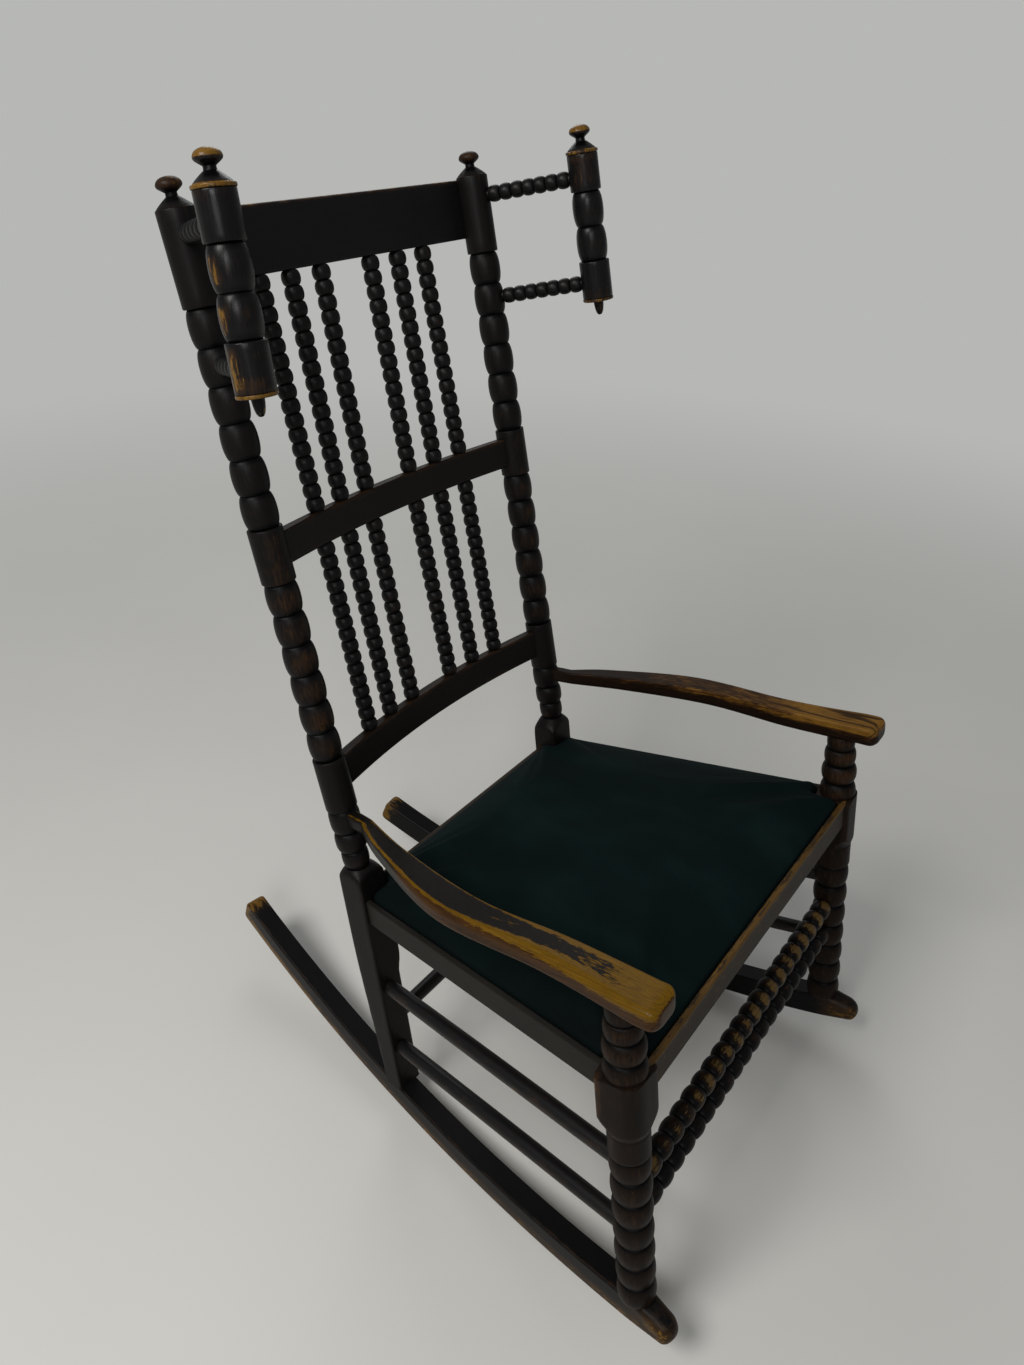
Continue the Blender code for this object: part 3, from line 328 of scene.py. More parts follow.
def bead(low, high, radius, groove, rows=15, power=2.2, fall=0.6):
    # r = groove + swell (1 - |2t - 1|^power)^fall, with t crowded towards the grooves
    t = (1 - np.cos(np.linspace(0, math.pi, rows))) / 2
    swell = (1 - np.abs(2 * t - 1) ** power) ** fall
    return np.stack([low + (high - low) * t, groove + (radius - groove) * swell], 1)


def beadRun(low, pitch, count, radius, groove, **shape):
    # beads of one pitch, end to end
    return np.concatenate([bead(low + i * pitch, low + (i + 1) * pitch, radius, groove, **shape)
                           for i in range(count)])


def line(*rows):
    # rows given one by one
    return np.array(rows, float)


knob = {
    "capHeight": 0.008, "neckRadius": 0.0052, "neck": 0.004, "radius": 0.0117, "height": 0.013,
    "cup": 0.46,  # share of the height below its widest ring
}


def finial(base, radius):
    # cone from the cap's edge to the neck, flared cup under the knob, then its dome
    t = np.linspace(0, 1, 7)
    a = np.linspace(0.12, math.pi / 2, 10)
    thin, wide = knob["neckRadius"], knob["radius"]
    neckFoot = base + knob["capHeight"]
    neckTop = neckFoot + knob["neck"]
    widest = knob["height"] * knob["cup"]
    cone = np.stack([base + knob["capHeight"] * t, radius + (thin * 1.35 - radius) * t ** 1.15], 1)
    neck = line((neckFoot + 0.001, thin * 1.05), (neckFoot + knob["neck"] * 0.6, thin))
    cup = np.stack([neckTop + widest * t, thin + (wide - thin) * np.sin(t * math.pi / 2) ** 1.25], 1)
    dome = np.stack([neckTop + widest + (knob["height"] - widest) * np.sin(a), wide * np.cos(a) ** 0.85], 1)
    dome[-1, 1] = 0.0004
    return np.concatenate([cone, neck, cup, dome])


def tidyRows(profile):
    # drops rows that repeat the row before
    apart = np.abs(np.diff(profile, axis=0)).sum(axis=1) > 2e-5
    return profile[np.concatenate([[True], apart])]


def proud(heights, radii, window):
    # how far each row stands above the mean radius of the rows about it
    step = 0.0005
    fine = np.arange(heights.min(), heights.max() + step, step)
    level = np.interp(fine, heights, radii)
    count = max(3, int(window / step))
    padded = np.pad(level, (count // 2, count - 1 - count // 2), mode="edge")
    mean = np.convolve(padded, np.ones(count) / count, "valid")
    return radii - np.interp(heights, fine, mean)


def axes(start, end, across=(1, 0, 0)):
    # unit vectors u, v round an axis w, with u as near across as can be
    w = (end - start) / np.linalg.norm(end - start)
    u = np.asarray(across, float) - w * np.dot(across, w)
    u /= np.linalg.norm(u)
    return u, np.cross(w, u), w


def turns(columns, square):
    # angles round a piece; for a square section they crowd towards its corners
    turn = np.linspace(0, 2 * math.pi, columns, endpoint=False)
    return turn + 0.16 * np.sin(4 * turn) if square else turn


def spot(amount, toward=(0, 0, 1), low=-9, high=9, tight=2, around=0, proudOnly=False, soft=0.003):
    # a worn place between two heights, on the side that looks toward, or all round where around is 1
    facing = np.asarray(toward, float)
    return {"amount": amount, "toward": facing / np.linalg.norm(facing), "low": low, "high": high,
            "tight": tight, "around": around, "proudOnly": proudOnly, "soft": soft}


def ringSpot(low, high, amount):
    # worn all round between two heights, with crisp ends
    return spot(amount, low=low, high=high, around=1, soft=0.0007)


def wornAt(spots, heights, away, rub):
    # the most that any spot gives: amount x span x (around + (1 - around) facing^tight), less in grooves
    bare = np.zeros((len(heights), len(away)))
    for worn in spots:
        low, high, soft, around = (worn[key] for key in ("low", "high", "soft", "around"))
        facing = np.clip(away @ worn["toward"], 0, 1) ** worn["tight"]
        span = smoothStep(heights, low - soft, low + soft) * (1 - smoothStep(heights, high - soft, high + soft))
        shape = np.clip(0.35 + 0.65 * rub, 0, 1) if worn["proudOnly"] else 1
        bare = np.maximum(bare, worn["amount"] * span * shape * (around + (1 - around) * facing[None]))
    return bare


def turnedPaints(heights, reach, turn, rub, bare):
    # fibres run along the axis, and each piece is cut from its own place in the timber
    grain = np.stack([reach * np.cos(turn), reach * np.sin(turn), heights + 0 * reach], -1)
    drift = chance.uniform(-1, 1, 3) * (0.3, 0.3, 2)
    return {"grain": grain + drift, "rub": rub, "bare": bare}


turnedLook = {
    "across": (1, 0, 0), "spots": (),
    "window": 0.03,  # length of the mean that a proud row stands above
    "proud": 0.0015, "corner": 0.006,  # how far a row or a corner stands out to be fully rubbed
    "most": 1, "edges": 0.8,  # largest radius that counts, and the most rubbing of a corner
    "wear": 0,
}


def turnedPiece(node, start, end, profile, finish, changes, columns=40, section=None):
    # point = start + height w + radius (cos u + sin v); section may cut the radius back, as a square bar does
    look = {**turnedLook, **changes}
    profile = tidyRows(profile)
    u, v, w = axes(start, end, look["across"])
    turn = turns(columns, section)
    heights, radii = profile[:, :1], profile[:, 1:]
    reach = np.repeat(radii, columns, axis=1)
    if section:
        reach = section(heights, reach, turn[None, :])
    away = np.cos(turn)[:, None] * u + np.sin(turn)[:, None] * v
    rings = start + heights[:, :, None] * w + reach[:, :, None] * away[None]
    mean = reach.mean(axis=1, keepdims=True)
    rub = proud(heights[:, 0], np.minimum(mean[:, 0], look["most"]), look["window"])[:, None] / look["proud"]
    rub = np.clip(rub, -1, 1) + np.clip((reach - mean) / look["corner"], -0.1, look["edges"])
    bare = wornAt(look["spots"], heights, away, rub)
    gridPiece(node, onRocker(rings), finish, turnedPaints(heights, reach, turn, rub + look["wear"], bare))


# Rockers' sizes come first, because the legs stand on them

rocker = {
    "radius": 1.25, "contactY": -0.021, "depth": 0.037, "width": 0.028, "half": 0.400, "ease": 0.0028,
    "corner": 0.0130, "tailCorner": 0.0050, "endTop": 0.009, "endUnder": 0.010,  # rounding of the two ends
    "endRise": 0.006,  # height above the arc of each end's outermost point
    "noseRun": 0.044, "noseFall": 0.016, "noseEase": 0.0115,  # the nose slopes down like a shoe's
}


def onRocker(points):
    # lifts whatever lies below the arc of the rockers' tops: z = R - sqrt((R - depth)^2 - (y - contact)^2)
    reach = (rocker["radius"] - rocker["depth"]) ** 2 - (points[..., 1] - rocker["contactY"]) ** 2
    lifted = points.copy()
    lifted[..., 2] = np.maximum(points[..., 2], rocker["radius"] - np.sqrt(reach) + 0.0003)
    return lifted


# Rear posts

post = {
    "leg": 0.036, "swell": 0.006, "block": 0.145, "ogee": 0.030, "corner": 14,
    "taper": 0.010, "taperSpan": (0.10, 0.37),  # the leg's back face, from the block's top down
    "cone": (0.0132, 1.15),  # radius at the block's top and how it grows downwards
    "radius": 0.018, "groove": 0.0140, "neckRadius": 0.0158, "neckGroove": 0.0122, "neck": 0.024,
    "rings": (0.025, 0.0314), "lowerPlain": 0.0649, "bead": 0.0346, "beads": 6,
    "middlePlain": 0.0571, "crestPlain": 0.0821, "columns": 56, "window": 0.034,
    "wornKnob": 0.30, "wornBeads": {-1: 0.30, 1: 0.22},  # the lower beads, by side
}
beadLength = post["beads"] * post["bead"]
postLevels, reached = {}, post["neck"] + sum(post["rings"])
for stage, length in (("lowerPlain", post["lowerPlain"]), ("lowerBeads", beadLength),
                      ("middlePlain", post["middlePlain"]), ("upperBeads", beadLength),
                      ("crestPlain", post["crestPlain"]), ("cap", 0)):
    postLevels[stage] = reached
    reached += length


def postX(level):
    # the posts spread as they rise
    return rx + level * postSpread


def postAt(side, level):
    # a point on a post's axis, some way above its block
    return fromBack((side * postX(level), 0, level))


def postProfile():
    # from the seat up: neck, two rings, plain and beaded lengths by turns, then the knob
    radius, groove, low = post["radius"], post["groove"], post["neck"]
    parts = [line((-0.006, post["neckGroove"]))]
    parts.append(bead(0.001, low, post["neckRadius"], post["neckGroove"], power=3))
    for length in post["rings"]:
        parts.append(bead(low, low + length, radius, groove, power=3))
        low += length
    for plainFrom, beadsFrom in (("lowerPlain", "lowerBeads"), ("middlePlain", "upperBeads")):
        parts.append(plain(postLevels[plainFrom], postLevels[beadsFrom], radius))
        parts.append(beadRun(postLevels[beadsFrom], post["bead"], post["beads"], radius, groove))
    parts.append(plain(postLevels["crestPlain"], postLevels["cap"], radius, 0.0016))
    parts.append(finial(postLevels["cap"], radius - 0.0012))
    return np.concatenate(parts)


def rearPost(name, side, spots):
    # the turned post and the square leg are one grid: the leg's section is |x/a|^n + |y/b|^n = 1
    profile = tidyRows(postProfile())
    columns, corner, half = post["columns"], post["corner"], post["leg"] / 2
    turn = turns(columns, True)
    start, end = postAt(side, 0), postAt(side, 1)
    u, v, w = axes(start, end)
    away = np.cos(turn)[:, None] * u + np.sin(turn)[:, None] * v
    upper = start + profile[:, :1, None] * w + profile[:, 1:, None] * away[None]
    drop = np.concatenate([np.linspace(0.0005, 0.014, 12), np.linspace(0.016, 0.140, 20),
                           np.linspace(0.144, 0.180, 16), np.linspace(0.190, 0.362, 24)])[:, None]
    ogee = 1 - smoothStep(drop, post["block"], post["block"] + post["ogee"])
    outwards = np.cos(turn)[None] * side > 0
    across = np.where(outwards, half, half + post["swell"] * ogee)
    behind = np.where(np.sin(turn)[None] > 0, half - post["taper"] * smoothStep(drop, *post["taperSpan"]), half)
    square = ((np.abs(np.cos(turn)) / across) ** corner + (np.abs(np.sin(turn)) / behind) ** corner) ** (-1 / corner)
    coneTop, coneGrowth = post["cone"]
    cone = coneTop + drop * coneGrowth + 0 * square
    blend = (square ** -10 + cone ** -10) ** (-1 / 10)  # the lathe's cone cuts the block's top corners
    centre = np.stack([side * (rx + drop * rearSpread), ry + 0 * drop, stance["blockTop"] - drop], -1)
    spread = np.stack([blend * np.cos(turn), blend * np.sin(turn), 0 * blend], -1)
    rings = np.concatenate([fromChair(centre + spread)[::-1], upper])
    heights = np.concatenate([-drop[::-1], profile[:, :1]])
    reach = np.concatenate([blend[::-1], np.repeat(profile[:, 1:], columns, 1)])
    rub = np.clip(proud(profile[:, 0], profile[:, 1], post["window"])[:, None] / turnedLook["proud"], -1, 1)
    edge = np.clip((blend - 0.0192) / 0.004, 0, 1) * 1.1 - 0.25  # the leg is rubbed at its corners
    rub = np.concatenate([edge[::-1], rub + np.zeros((1, columns))])
    paints = turnedPaints(heights, reach, turn, rub, wornAt(spots, heights, away, rub))
    gridPiece("rear_post_" + name, onRocker(rings), postBlack, paints, 40)


knobTop = postLevels["cap"] + knob["capHeight"]
for name, side in sides.items():
    wornBeads = spot(post["wornBeads"][side], (-0.4, -0.9, 0), postLevels["lowerBeads"],
                     postLevels["middlePlain"] + 0.05, 1.5)
    rearPost(name, side, [spot(post["wornKnob"], low=knobTop + 0.006, around=1), wornBeads])
print("rear posts turned")


# Front legs

leg = {
    "bar": 0.046, "bead": 0.034, "beads": 7, "radius": 0.0215, "groove": 0.0168, "collar": 0.2344,
    "blockBottom": 0.292, "blockTop": 0.342, "tongue": 0.024, "rings": (0.0195, 0.026, 0.022),
    "ringRadii": (0.0218, 0.0212, 0.0190), "neck": 0.0155, "top": 0.4285, "foot": -0.018,
    "corner": 8, "roundCorner": 2.6, "shoulder": 0.009,  # squareness of the block's corners, and its round top
}


def legProfile():
    # from the rocker up: beads, collar, a swell to the block, its round top, rings and a neck under the arm
    diagonal = leg["bar"] / 2 * math.sqrt(2) * 1.02
    foot = leg["collar"] - leg["bead"] * leg["beads"]
    swellFrom = leg["blockBottom"] - leg["tongue"]
    shoulder = leg["blockTop"] - leg["shoulder"]
    parts = [line((leg["foot"], leg["groove"]), (foot, leg["groove"]))]
    parts.append(beadRun(foot, leg["bead"], leg["beads"], leg["radius"], leg["groove"], power=2))
    parts.append(plain(leg["collar"], swellFrom, leg["radius"], 0.001))
    t = np.linspace(0, 1, 12)
    swell = leg["radius"] + (diagonal - leg["radius"]) * (t ** 1.6 * (1.6 - 0.6 * t))
    parts.append(np.stack([swellFrom + leg["tongue"] * t, swell], 1))
    t = t[1:]
    parts.append(np.stack([leg["blockBottom"] + (shoulder - leg["blockBottom"]) * t, diagonal + 0 * t], 1))
    a = t * math.pi / 2
    merge = leg["ringRadii"][0] * 0.97
    parts.append(np.stack([shoulder + leg["shoulder"] * np.sin(a), merge + (diagonal - merge) * np.cos(a)], 1))
    low = leg["blockTop"]
    first = bead(low - leg["rings"][0] * 0.55, low + leg["rings"][0], leg["ringRadii"][0], leg["neck"], 25)
    parts.append(first[first[:, 0] > low + 0.0006])
    low += leg["rings"][0]
    for length, radius in zip(leg["rings"][1:], leg["ringRadii"][1:]):
        parts.append(bead(low, low + length, radius, leg["neck"]))
        low += length
    parts.append(bead(low, leg["top"], leg["neck"] * 1.08, leg["neck"] * 0.96))
    return np.concatenate(parts)


def squareBar(side):
    # r = h (|cos|^n + |sin|^n)^(-1/n), rounder at the front outer corner, taken where it is nearer than the turning
    def section(heights, reach, turn):
        outerFront = (np.cos(turn) * side > 0) & (np.sin(turn) < 0)
        n = np.where(outerFront, leg["roundCorner"], leg["corner"])
        square = leg["bar"] / 2 * (np.abs(np.cos(turn)) ** n + np.abs(np.sin(turn)) ** n) ** (-1 / n)
        return np.minimum(reach, square)
    return section


chipped = (-0.72, 0.69, 0)
legLook = {"proud": 0.0026, "edges": 0.25, "most": 0.0218}
legSpots = {
    "right": [spot(0.66, chipped, 0.318, 0.341, 50), spot(0.48, chipped, 0.285, 0.322, 70)],
    "left": [spot(0.34, (-0.5, -0.8, 0), 0.362, 0.43, proudOnly=True)],
}
for name, side in sides.items():
    start, end = (fromChair((side * fx, fy, height)) for height in (0, 1))
    look = {**legLook, "spots": legSpots[name]}
    turnedPiece("front_leg_" + name, start, end, legProfile(), brownLeg, look, 64, squareBar(side))
print("front legs turned")


# Back spindles, wings and stretchers: beaded or plain sticks

spindle = {
    "x": (-0.1186, -0.078, -0.036, 0.036, 0.078, 0.1186), "beads": 16, "radius": 0.0099, "groove": 0.0064,
    "brown": {"upper": {6: 0.24, 4: 0.10}, "lower": {2: 0.12, 3: 0.30, 4: 0.32, 5: 0.16}},  # wear by number
}
backRails = {
    "crest_rail": {"level": 0.6665, "height": 0.062, "thickness": 0.014, "setback": 0.014, "bow": 0.006,
                   "worn": 0.50, "finish": boardBlack},
    "middle_back_rail": {"level": 0.383, "height": 0.035, "thickness": 0.015, "setback": 0.0, "bow": 0.025,
                         "worn": 0.30, "finish": boardBrown},
    "lower_back_rail": {"level": 0.1177, "height": 0.037, "thickness": 0.015, "setback": 0.0, "bow": 0.025,
                        "worn": 0.27, "finish": boardBrown},
}


def railY(rail, x):
    # a parabola, deepest at its middle: setback + bow (1 - (x / half)^2)
    return rail["setback"] + rail["bow"] * (1 - (x / postX(rail["level"])) ** 2)


def stick(node, start, end, kind, finish, look, columns=24):
    # a run of beads from start to end, with both ends sunk in their sockets
    sink, groove = 0.004, kind["groove"]
    length = np.linalg.norm(end - start)
    pitch = length / kind["beads"]
    run = beadRun(0, pitch, kind["beads"], kind["radius"], groove, rows=13, power=2, fall=0.55)
    profile = np.concatenate([line((-sink, groove)), run, line((length + sink, groove))])
    look = {"window": pitch, "proud": kind["radius"] * 0.22, **look}
    turnedPiece(node, start, end, profile, finish, look, columns)


for row, top, foot in (("upper", "crest_rail", "middle_back_rail"), ("lower", "middle_back_rail", "lower_back_rail")):
    high, low = backRails[top], backRails[foot]
    for number, x in enumerate(spindle["x"], 1):
        start = fromBack((x, railY(low, x), low["level"] + low["height"] / 2))
        end = fromBack((x, railY(high, x), high["level"] - high["height"] / 2))
        worn = spot(spindle["brown"][row].get(number, 0), (-0.3, -1, 0.2), tight=1.5, proudOnly=True)
        stick(f"{row}_spindle_{number}", start, end, spindle, spindleBlack, {"spots": [worn]})

wing = {
    "out": 0.048, "forward": 0.122, "cap": 0.704, "leanIn": 2.4, "leanForward": 1.5, "radius": 0.0175,
    "groove": 0.0134, "upperPlain": 0.041, "bead": 0.0365, "beads": 2, "lowerPlain": 0.044, "ring": 0.0034,
    "drop": 0.0155, "dropRadius": 0.0058, "levels": {"upper": 0.0265, "lower": 0.137},
    "spindle": {"beads": 7, "radius": 0.0090, "groove": 0.0060},
}
wingFoot = -(wing["upperPlain"] + wing["beads"] * wing["bead"] + wing["lowerPlain"])  # heights from the cap
wingBeads = wingFoot + wing["lowerPlain"]
knobFoot = knob["capHeight"] + knob["neck"] + 0.0062


def wingAt(side, below):
    # a point on the wing's axis, some way below its cap
    x = postX(wing["cap"]) + wing["out"] + below * math.tan(math.radians(wing["leanIn"]))
    y = below * math.tan(math.radians(wing["leanForward"])) - wing["forward"]
    return fromBack((side * x, y, wing["cap"] - below))


def wingProfile():
    # from below: round drop, ring, plain, two beads, plain, ring, then the knob
    radius, ring = wing["radius"], wing["ring"]
    t = np.linspace(0, 1, 8)
    swell = wing["dropRadius"] * (0.42 + 0.58 * np.sin(t * math.pi / 2) ** 0.6)
    return np.concatenate([
        line((wingFoot - wing["drop"] - 0.0006, 0.0012)),
        np.stack([wingFoot - wing["drop"] * (1 - t), swell], 1),
        line((wingFoot, wing["dropRadius"]), (wingFoot, radius * 0.90)),
        plain(wingFoot, wingFoot + ring, radius * 1.02, 0.0010),
        plain(wingFoot + ring, wingBeads, radius),
        beadRun(wingBeads, wing["bead"], wing["beads"], radius, wing["groove"]),
        plain(-wing["upperPlain"], -ring, radius * 0.985),
        plain(-ring, 0, radius * 1.03),
        finial(0, radius * 0.93),
    ])


def wingRings(cap, foot, top, drop):
    # bare shares of the ring under the cap, the ring at the foot, the knob and the drop
    return [ringSpot(-wing["ring"], 0.0006, cap), ringSpot(wingFoot, wingFoot + wing["ring"], foot),
            ringSpot(knobFoot, 9, top), ringSpot(-9, wingFoot - 0.003, drop)]


wingSpots = {
    "right": [*wingRings(0.66, 0.62, 0.80, 0.42), spot(0.10, (-0.8, -0.6, 0), tight=1),
              spot(0.52, (-0.93, 0, 0), wingBeads + 0.040, -wing["upperPlain"] - 0.006, 12, soft=0.006),
              spot(0.52, (-0.93, 0.05, 0), wingBeads + 0.004, wingBeads + 0.030, 11, soft=0.006),
              spot(0.55, (-0.95, 0.10, 0), wingFoot + 0.005, wingBeads - 0.004, 5, soft=0.004)],
    "left": [*wingRings(0.52, 0.44, 0.66, 0.42), spot(0.08, (-0.8, -0.6, 0), tight=1),
             spot(0.31, (-0.9, -0.45, 0), -0.036, -0.004, 1)],
}
wingSpindleLook = {
    "across": (0, 0, 1),
    "spots": [spot(0.28, (-0.4, -0.3, 0.9), proudOnly=True), ringSpot(0.128, 9, 0.62)],
}
for name, side in sides.items():
    look = {"spots": wingSpots[name], "window": 0.036}
    turnedPiece("wing_post_" + name, wingAt(side, 0), wingAt(side, -1), wingProfile(), ebonised, look, 48)
    for row, below in wing["levels"].items():
        start, end = postAt(side, wing["cap"] - below), wingAt(side, below)
        reach = (end - start) / np.linalg.norm(end - start)
        stick(f"{row}_wing_spindle_{name}", start + reach * post["radius"], end - reach * wing["radius"],
              wing["spindle"], spindleBlack, wingSpindleLook)

stretcher = {
    "front": {"upper": 0.172, "lower": 0.128}, "beads": 20, "radius": 0.0127, "groove": 0.0085,
    "worn": {"upper": ((-1, 0.16, 0.82), (0.08, 0.30, 1.0), (0.20, 9, 1.15)),  # from, to and amount
             "lower": ((-1, 9, 0.42),)},
    "side": {"upper": (0.207, 0.192), "lower": (0.106, 0.089)}, "plain": 0.0097, "rear": 0.122,
}
for row, height in stretcher["front"].items():
    start, end = (fromChair((side * (fx - leg["radius"]), fy, height)) for side in (-1, 1))
    spots = [spot(amount, (0, -0.55, 0.83), low, high, 1.2, proudOnly=True, soft=0.04)
             for low, high, amount in stretcher["worn"][row]]
    stick(f"{row}_front_stretcher", start, end, stretcher, stretcherWood, {"across": (0, 0, 1), "spots": spots}, 32)


def legAt(side, front, height):
    # a point on a leg's axis; the rear legs splay below their blocks
    x, y = (fx, fy) if front else (rx + (stance["blockTop"] - height) * rearSpread, ry)
    return fromChair((side * x, y, height))


def roundBar(node, start, end, spots=()):
    # a straight bar, fuller at its middle: r = plain (0.95 + 0.06 sin(pi t))
    length = np.linalg.norm(end - start)
    t = np.linspace(0, 1, 40)
    profile = np.stack([length * t, stretcher["plain"] * (0.95 + 0.06 * np.sin(math.pi * t))], 1)
    turnedPiece(node, start, end, profile, barBlack, {"across": (0, 0, 1), "wear": 0.25, "spots": spots}, 28)


for name, side in sides.items():
    for row, (front, rear) in stretcher["side"].items():
        roundBar(f"{row}_side_stretcher_{name}", legAt(side, False, rear), legAt(side, True, front),
                 [spot(0.30, (-0.9, 0, -0.2))])
roundBar("rear_stretcher", legAt(-1, False, stretcher["rear"]), legAt(1, False, stretcher["rear"]))
print("spindles, wings and stretchers turned")


# Boards: a section carried along a path

def roundedSection(width, height, radii, arc=5, flat=6):
    # a rectangle of width by height (arrays, one per row) with its own radius at each corner,
    # from the low outer corner round by the top; also gives each point's nearness to an edge
    width, height = (np.asarray(a, float).reshape(-1, 1) for a in (width, height))
    corners = ((1, -1), (1, 1), (-1, 1), (-1, -1))
    arcs = []
    for (sx, sy), radius, first in zip(corners, radii, (-90, 0, 90, 180)):
        radius = np.minimum(np.asarray(radius, float).reshape(-1, 1), np.minimum(width, height) * 0.48)
        a = np.radians(first + np.linspace(0, 90, arc))[None]
        arcs.append(np.stack([sx * (width / 2 - radius) + radius * np.cos(a),
                              sy * (height / 2 - radius) + radius * np.sin(a)], -1))
    t = ((1 - np.cos(np.linspace(0, math.pi, flat + 2))) / 2)[1:-1][None, :, None]
    pieces, edges = [], []
    for k in range(4):
        here, after = arcs[k][:, -1:], arcs[(k + 1) % 4][:, :1]
        pieces += [arcs[k], here + (after - here) * t]
        run = np.linalg.norm(after - here, axis=-1)
        away = np.minimum(t[..., 0], 1 - t[..., 0]) * run
        edges += [np.ones(arcs[k].shape[:2]), np.exp(-away / 0.0035)]
    return np.concatenate(pieces, 1), np.concatenate(edges, 1)


def boardPaints(across, upward, along, edge, bare, pith=(0.0, -0.03), lift=0.0):
    # fibres run along the board; the log's middle lies off to one side, so that rings show as arches
    drift = chance.uniform(-1, 1, 3) * (0.004, 0.004, 2)
    grain = np.stack([across - pith[0], upward - pith[1] + lift * along, along], -1) + drift
    return {"grain": grain, "rub": edge * 0.9, "bare": bare}


for node, rail in backRails.items():  # the section stands square to the bow
    reach = postX(rail["level"]) - post["radius"] + 0.010
    x = np.linspace(-reach, reach, 60)
    tilt = np.arctan(-2 * rail["bow"] * x / postX(rail["level"]) ** 2)[:, None]
    section, edge = roundedSection(rail["thickness"] + 0 * x, rail["height"] + 0 * x, (0.002, 0.0026, 0.0026, 0.002))
    across, upward = section[..., 0], section[..., 1]
    spots = np.stack([x[:, None] - across * np.sin(tilt), railY(rail, x)[:, None] + across * np.cos(tilt),
                      rail["level"] + upward], -1)
    bare = np.exp(-np.abs(upward - rail["height"] / 2) / 0.003) * rail["worn"]  # along the top
    paints = boardPaints(across, upward, x[:, None] + 0 * across, edge, bare)
    gridPiece(node, fromBack(spots), rail["finish"], paints)

# Seat rails: an L section with the rebate that the loose seat drops into
seatRail = {
    "height": 0.034, "thickness": 0.022, "lip": 0.007, "rebate": 0.016, "setOut": 0.007, "setIn": 0.004,
    "frontDepth": 0.023, "rearDepth": 0.024, "sideDepth": 0.018, "tenon": 0.010, "ease": 0.0016,
    "worn": {"front": {"edge": 0.32, "lip": 0.42, "face": 0.31}, "rear": {"edge": 0.2, "lip": 0.2, "face": 0.0},
             "side": {"edge": 0.03, "lip": 0.04, "face": 0.02}},
}


def railPiece(node, start, end, startDepth, endDepth, inward, worn, finish):
    # the L section carried straight from leg to leg: point = spine + shape x across + shape y rise
    start, end = np.asarray(start, float), np.asarray(end, float)
    reach = (end - start) / np.linalg.norm(end - start)
    first = start + reach * (startDepth - seatRail["tenon"])
    last = end - reach * (endDepth - seatRail["tenon"])
    across = np.cross((0, 0, 1), reach)
    across = across / np.linalg.norm(across) * (1 if np.dot(across, inward) > 0 else -1)
    rise = np.cross(reach, across)
    rise = rise * np.sign(rise[2])
    half, tall = seatRail["thickness"] / 2, seatRail["height"]
    lip, deep, ease = seatRail["lip"], seatRail["rebate"], seatRail["ease"]
    a = np.linspace(0, math.pi / 2, 5)
    face = [(-half, z) for z in (-tall + ease, -tall * 0.75, -tall * 0.5, -tall * 0.25, -ease - 0.002)]
    corner = np.stack([-half + ease - ease * np.cos(a), -ease + ease * np.sin(a)], 1)
    lipTop = [(x, 0) for x in np.linspace(-half + ease + 0.001, -half + lip - 0.0012, 4)]
    step = [(-half + lip - 0.0004, -0.0004), (-half + lip, -0.0014), (-half + lip, -deep), (half, -deep)]
    under = [(half, -deep - 0.004), (half, -tall + ease), (half - ease, -tall), (-half + ease, -tall)]
    shape = np.concatenate([face, corner, lipTop, step, under])
    t = np.linspace(0, 1, 60)[:, None]
    spine = first + (last - first) * t
    spots = spine[:, None] + shape[None, :, :1] * across + shape[None, :, 1:] * rise
    nearTop = np.exp(-np.hypot(shape[:, 0] + half, shape[:, 1]) / 0.0035)
    onLip = np.where((shape[:, 1] > -0.002) & (shape[:, 0] < -half + lip), 1.0, 0.0)
    rub = np.maximum(nearTop, onLip * 0.7) + 0 * t
    bare = worn["edge"] * nearTop + worn["lip"] * onLip + worn["face"] * (shape[:, 0] == -half) + 0 * t
    along = np.linalg.norm(last - first) * t + 0 * rub
    paints = boardPaints(shape[:, 0] + 0 * along, shape[:, 1] + 0 * along, along, rub, bare)
    gridPiece(node, fromChair(spots), finish, paints, 35)


frontLine, rearLine = fy - seatRail["setOut"], ry - seatRail["setIn"]
railPiece("front_seat_rail", (-fx, frontLine, stance["seatFront"]), (fx, frontLine, stance["seatFront"]),
          seatRail["frontDepth"], seatRail["frontDepth"], (0, 1, 0), seatRail["worn"]["front"], railGrey)
railPiece("rear_seat_rail", (-rx, rearLine, stance["seatRear"]), (rx, rearLine, stance["seatRear"]),
          seatRail["rearDepth"], seatRail["rearDepth"], (0, -1, 0), seatRail["worn"]["rear"], railGrey)
splayAtSeat = (stance["blockTop"] - stance["seatRear"]) * rearSpread
for name, side in sides.items():
    railPiece("side_seat_rail_" + name, (side * (rx + splayAtSeat), ry, stance["seatRear"]),
              (side * fx, fy, stance["seatFront"]), seatRail["sideDepth"], seatRail["frontDepth"], (-side, 0, 0),
              seatRail["worn"]["side"], sideRailWood)
print("rails shaped")


# Arms: the plan's two edges give each row's width, and hands have worn the film off

arm = {
    "outer": ((0.080, 0.0063), (0.2055, 0.0234), (0.481, 0.0431), (0.807, 0.0249), (1.0576, 0.0191)),
    "inner": ((0.095, -0.0076), (0.283, 0.0038), (0.569, 0.0064), (0.832, -0.0116), (1.070, -0.0226)),
    "top": 0.453, "thickness": 0.024, "rear": 0.0185, "taper": 0.72, "overhang": 0.047, "corner": 0.0105,
    "tongue": 0.0148, "level": 0.0647, "round": 0.0085, "chamfer": 0.006, "end": 0.0052,
    "frontWear": (0.0012, 0.0040),  # how far the end has drawn in where its own wear starts and is full
    "runOut": {-1: -0.10, 1: -0.03},  # how far the grain climbs out of each arm
    "rows": {"plan": 90, "straight": 5, "tongue": 5},
}
cornerTurn = np.linspace(0, math.pi / 2, 12)[1:]


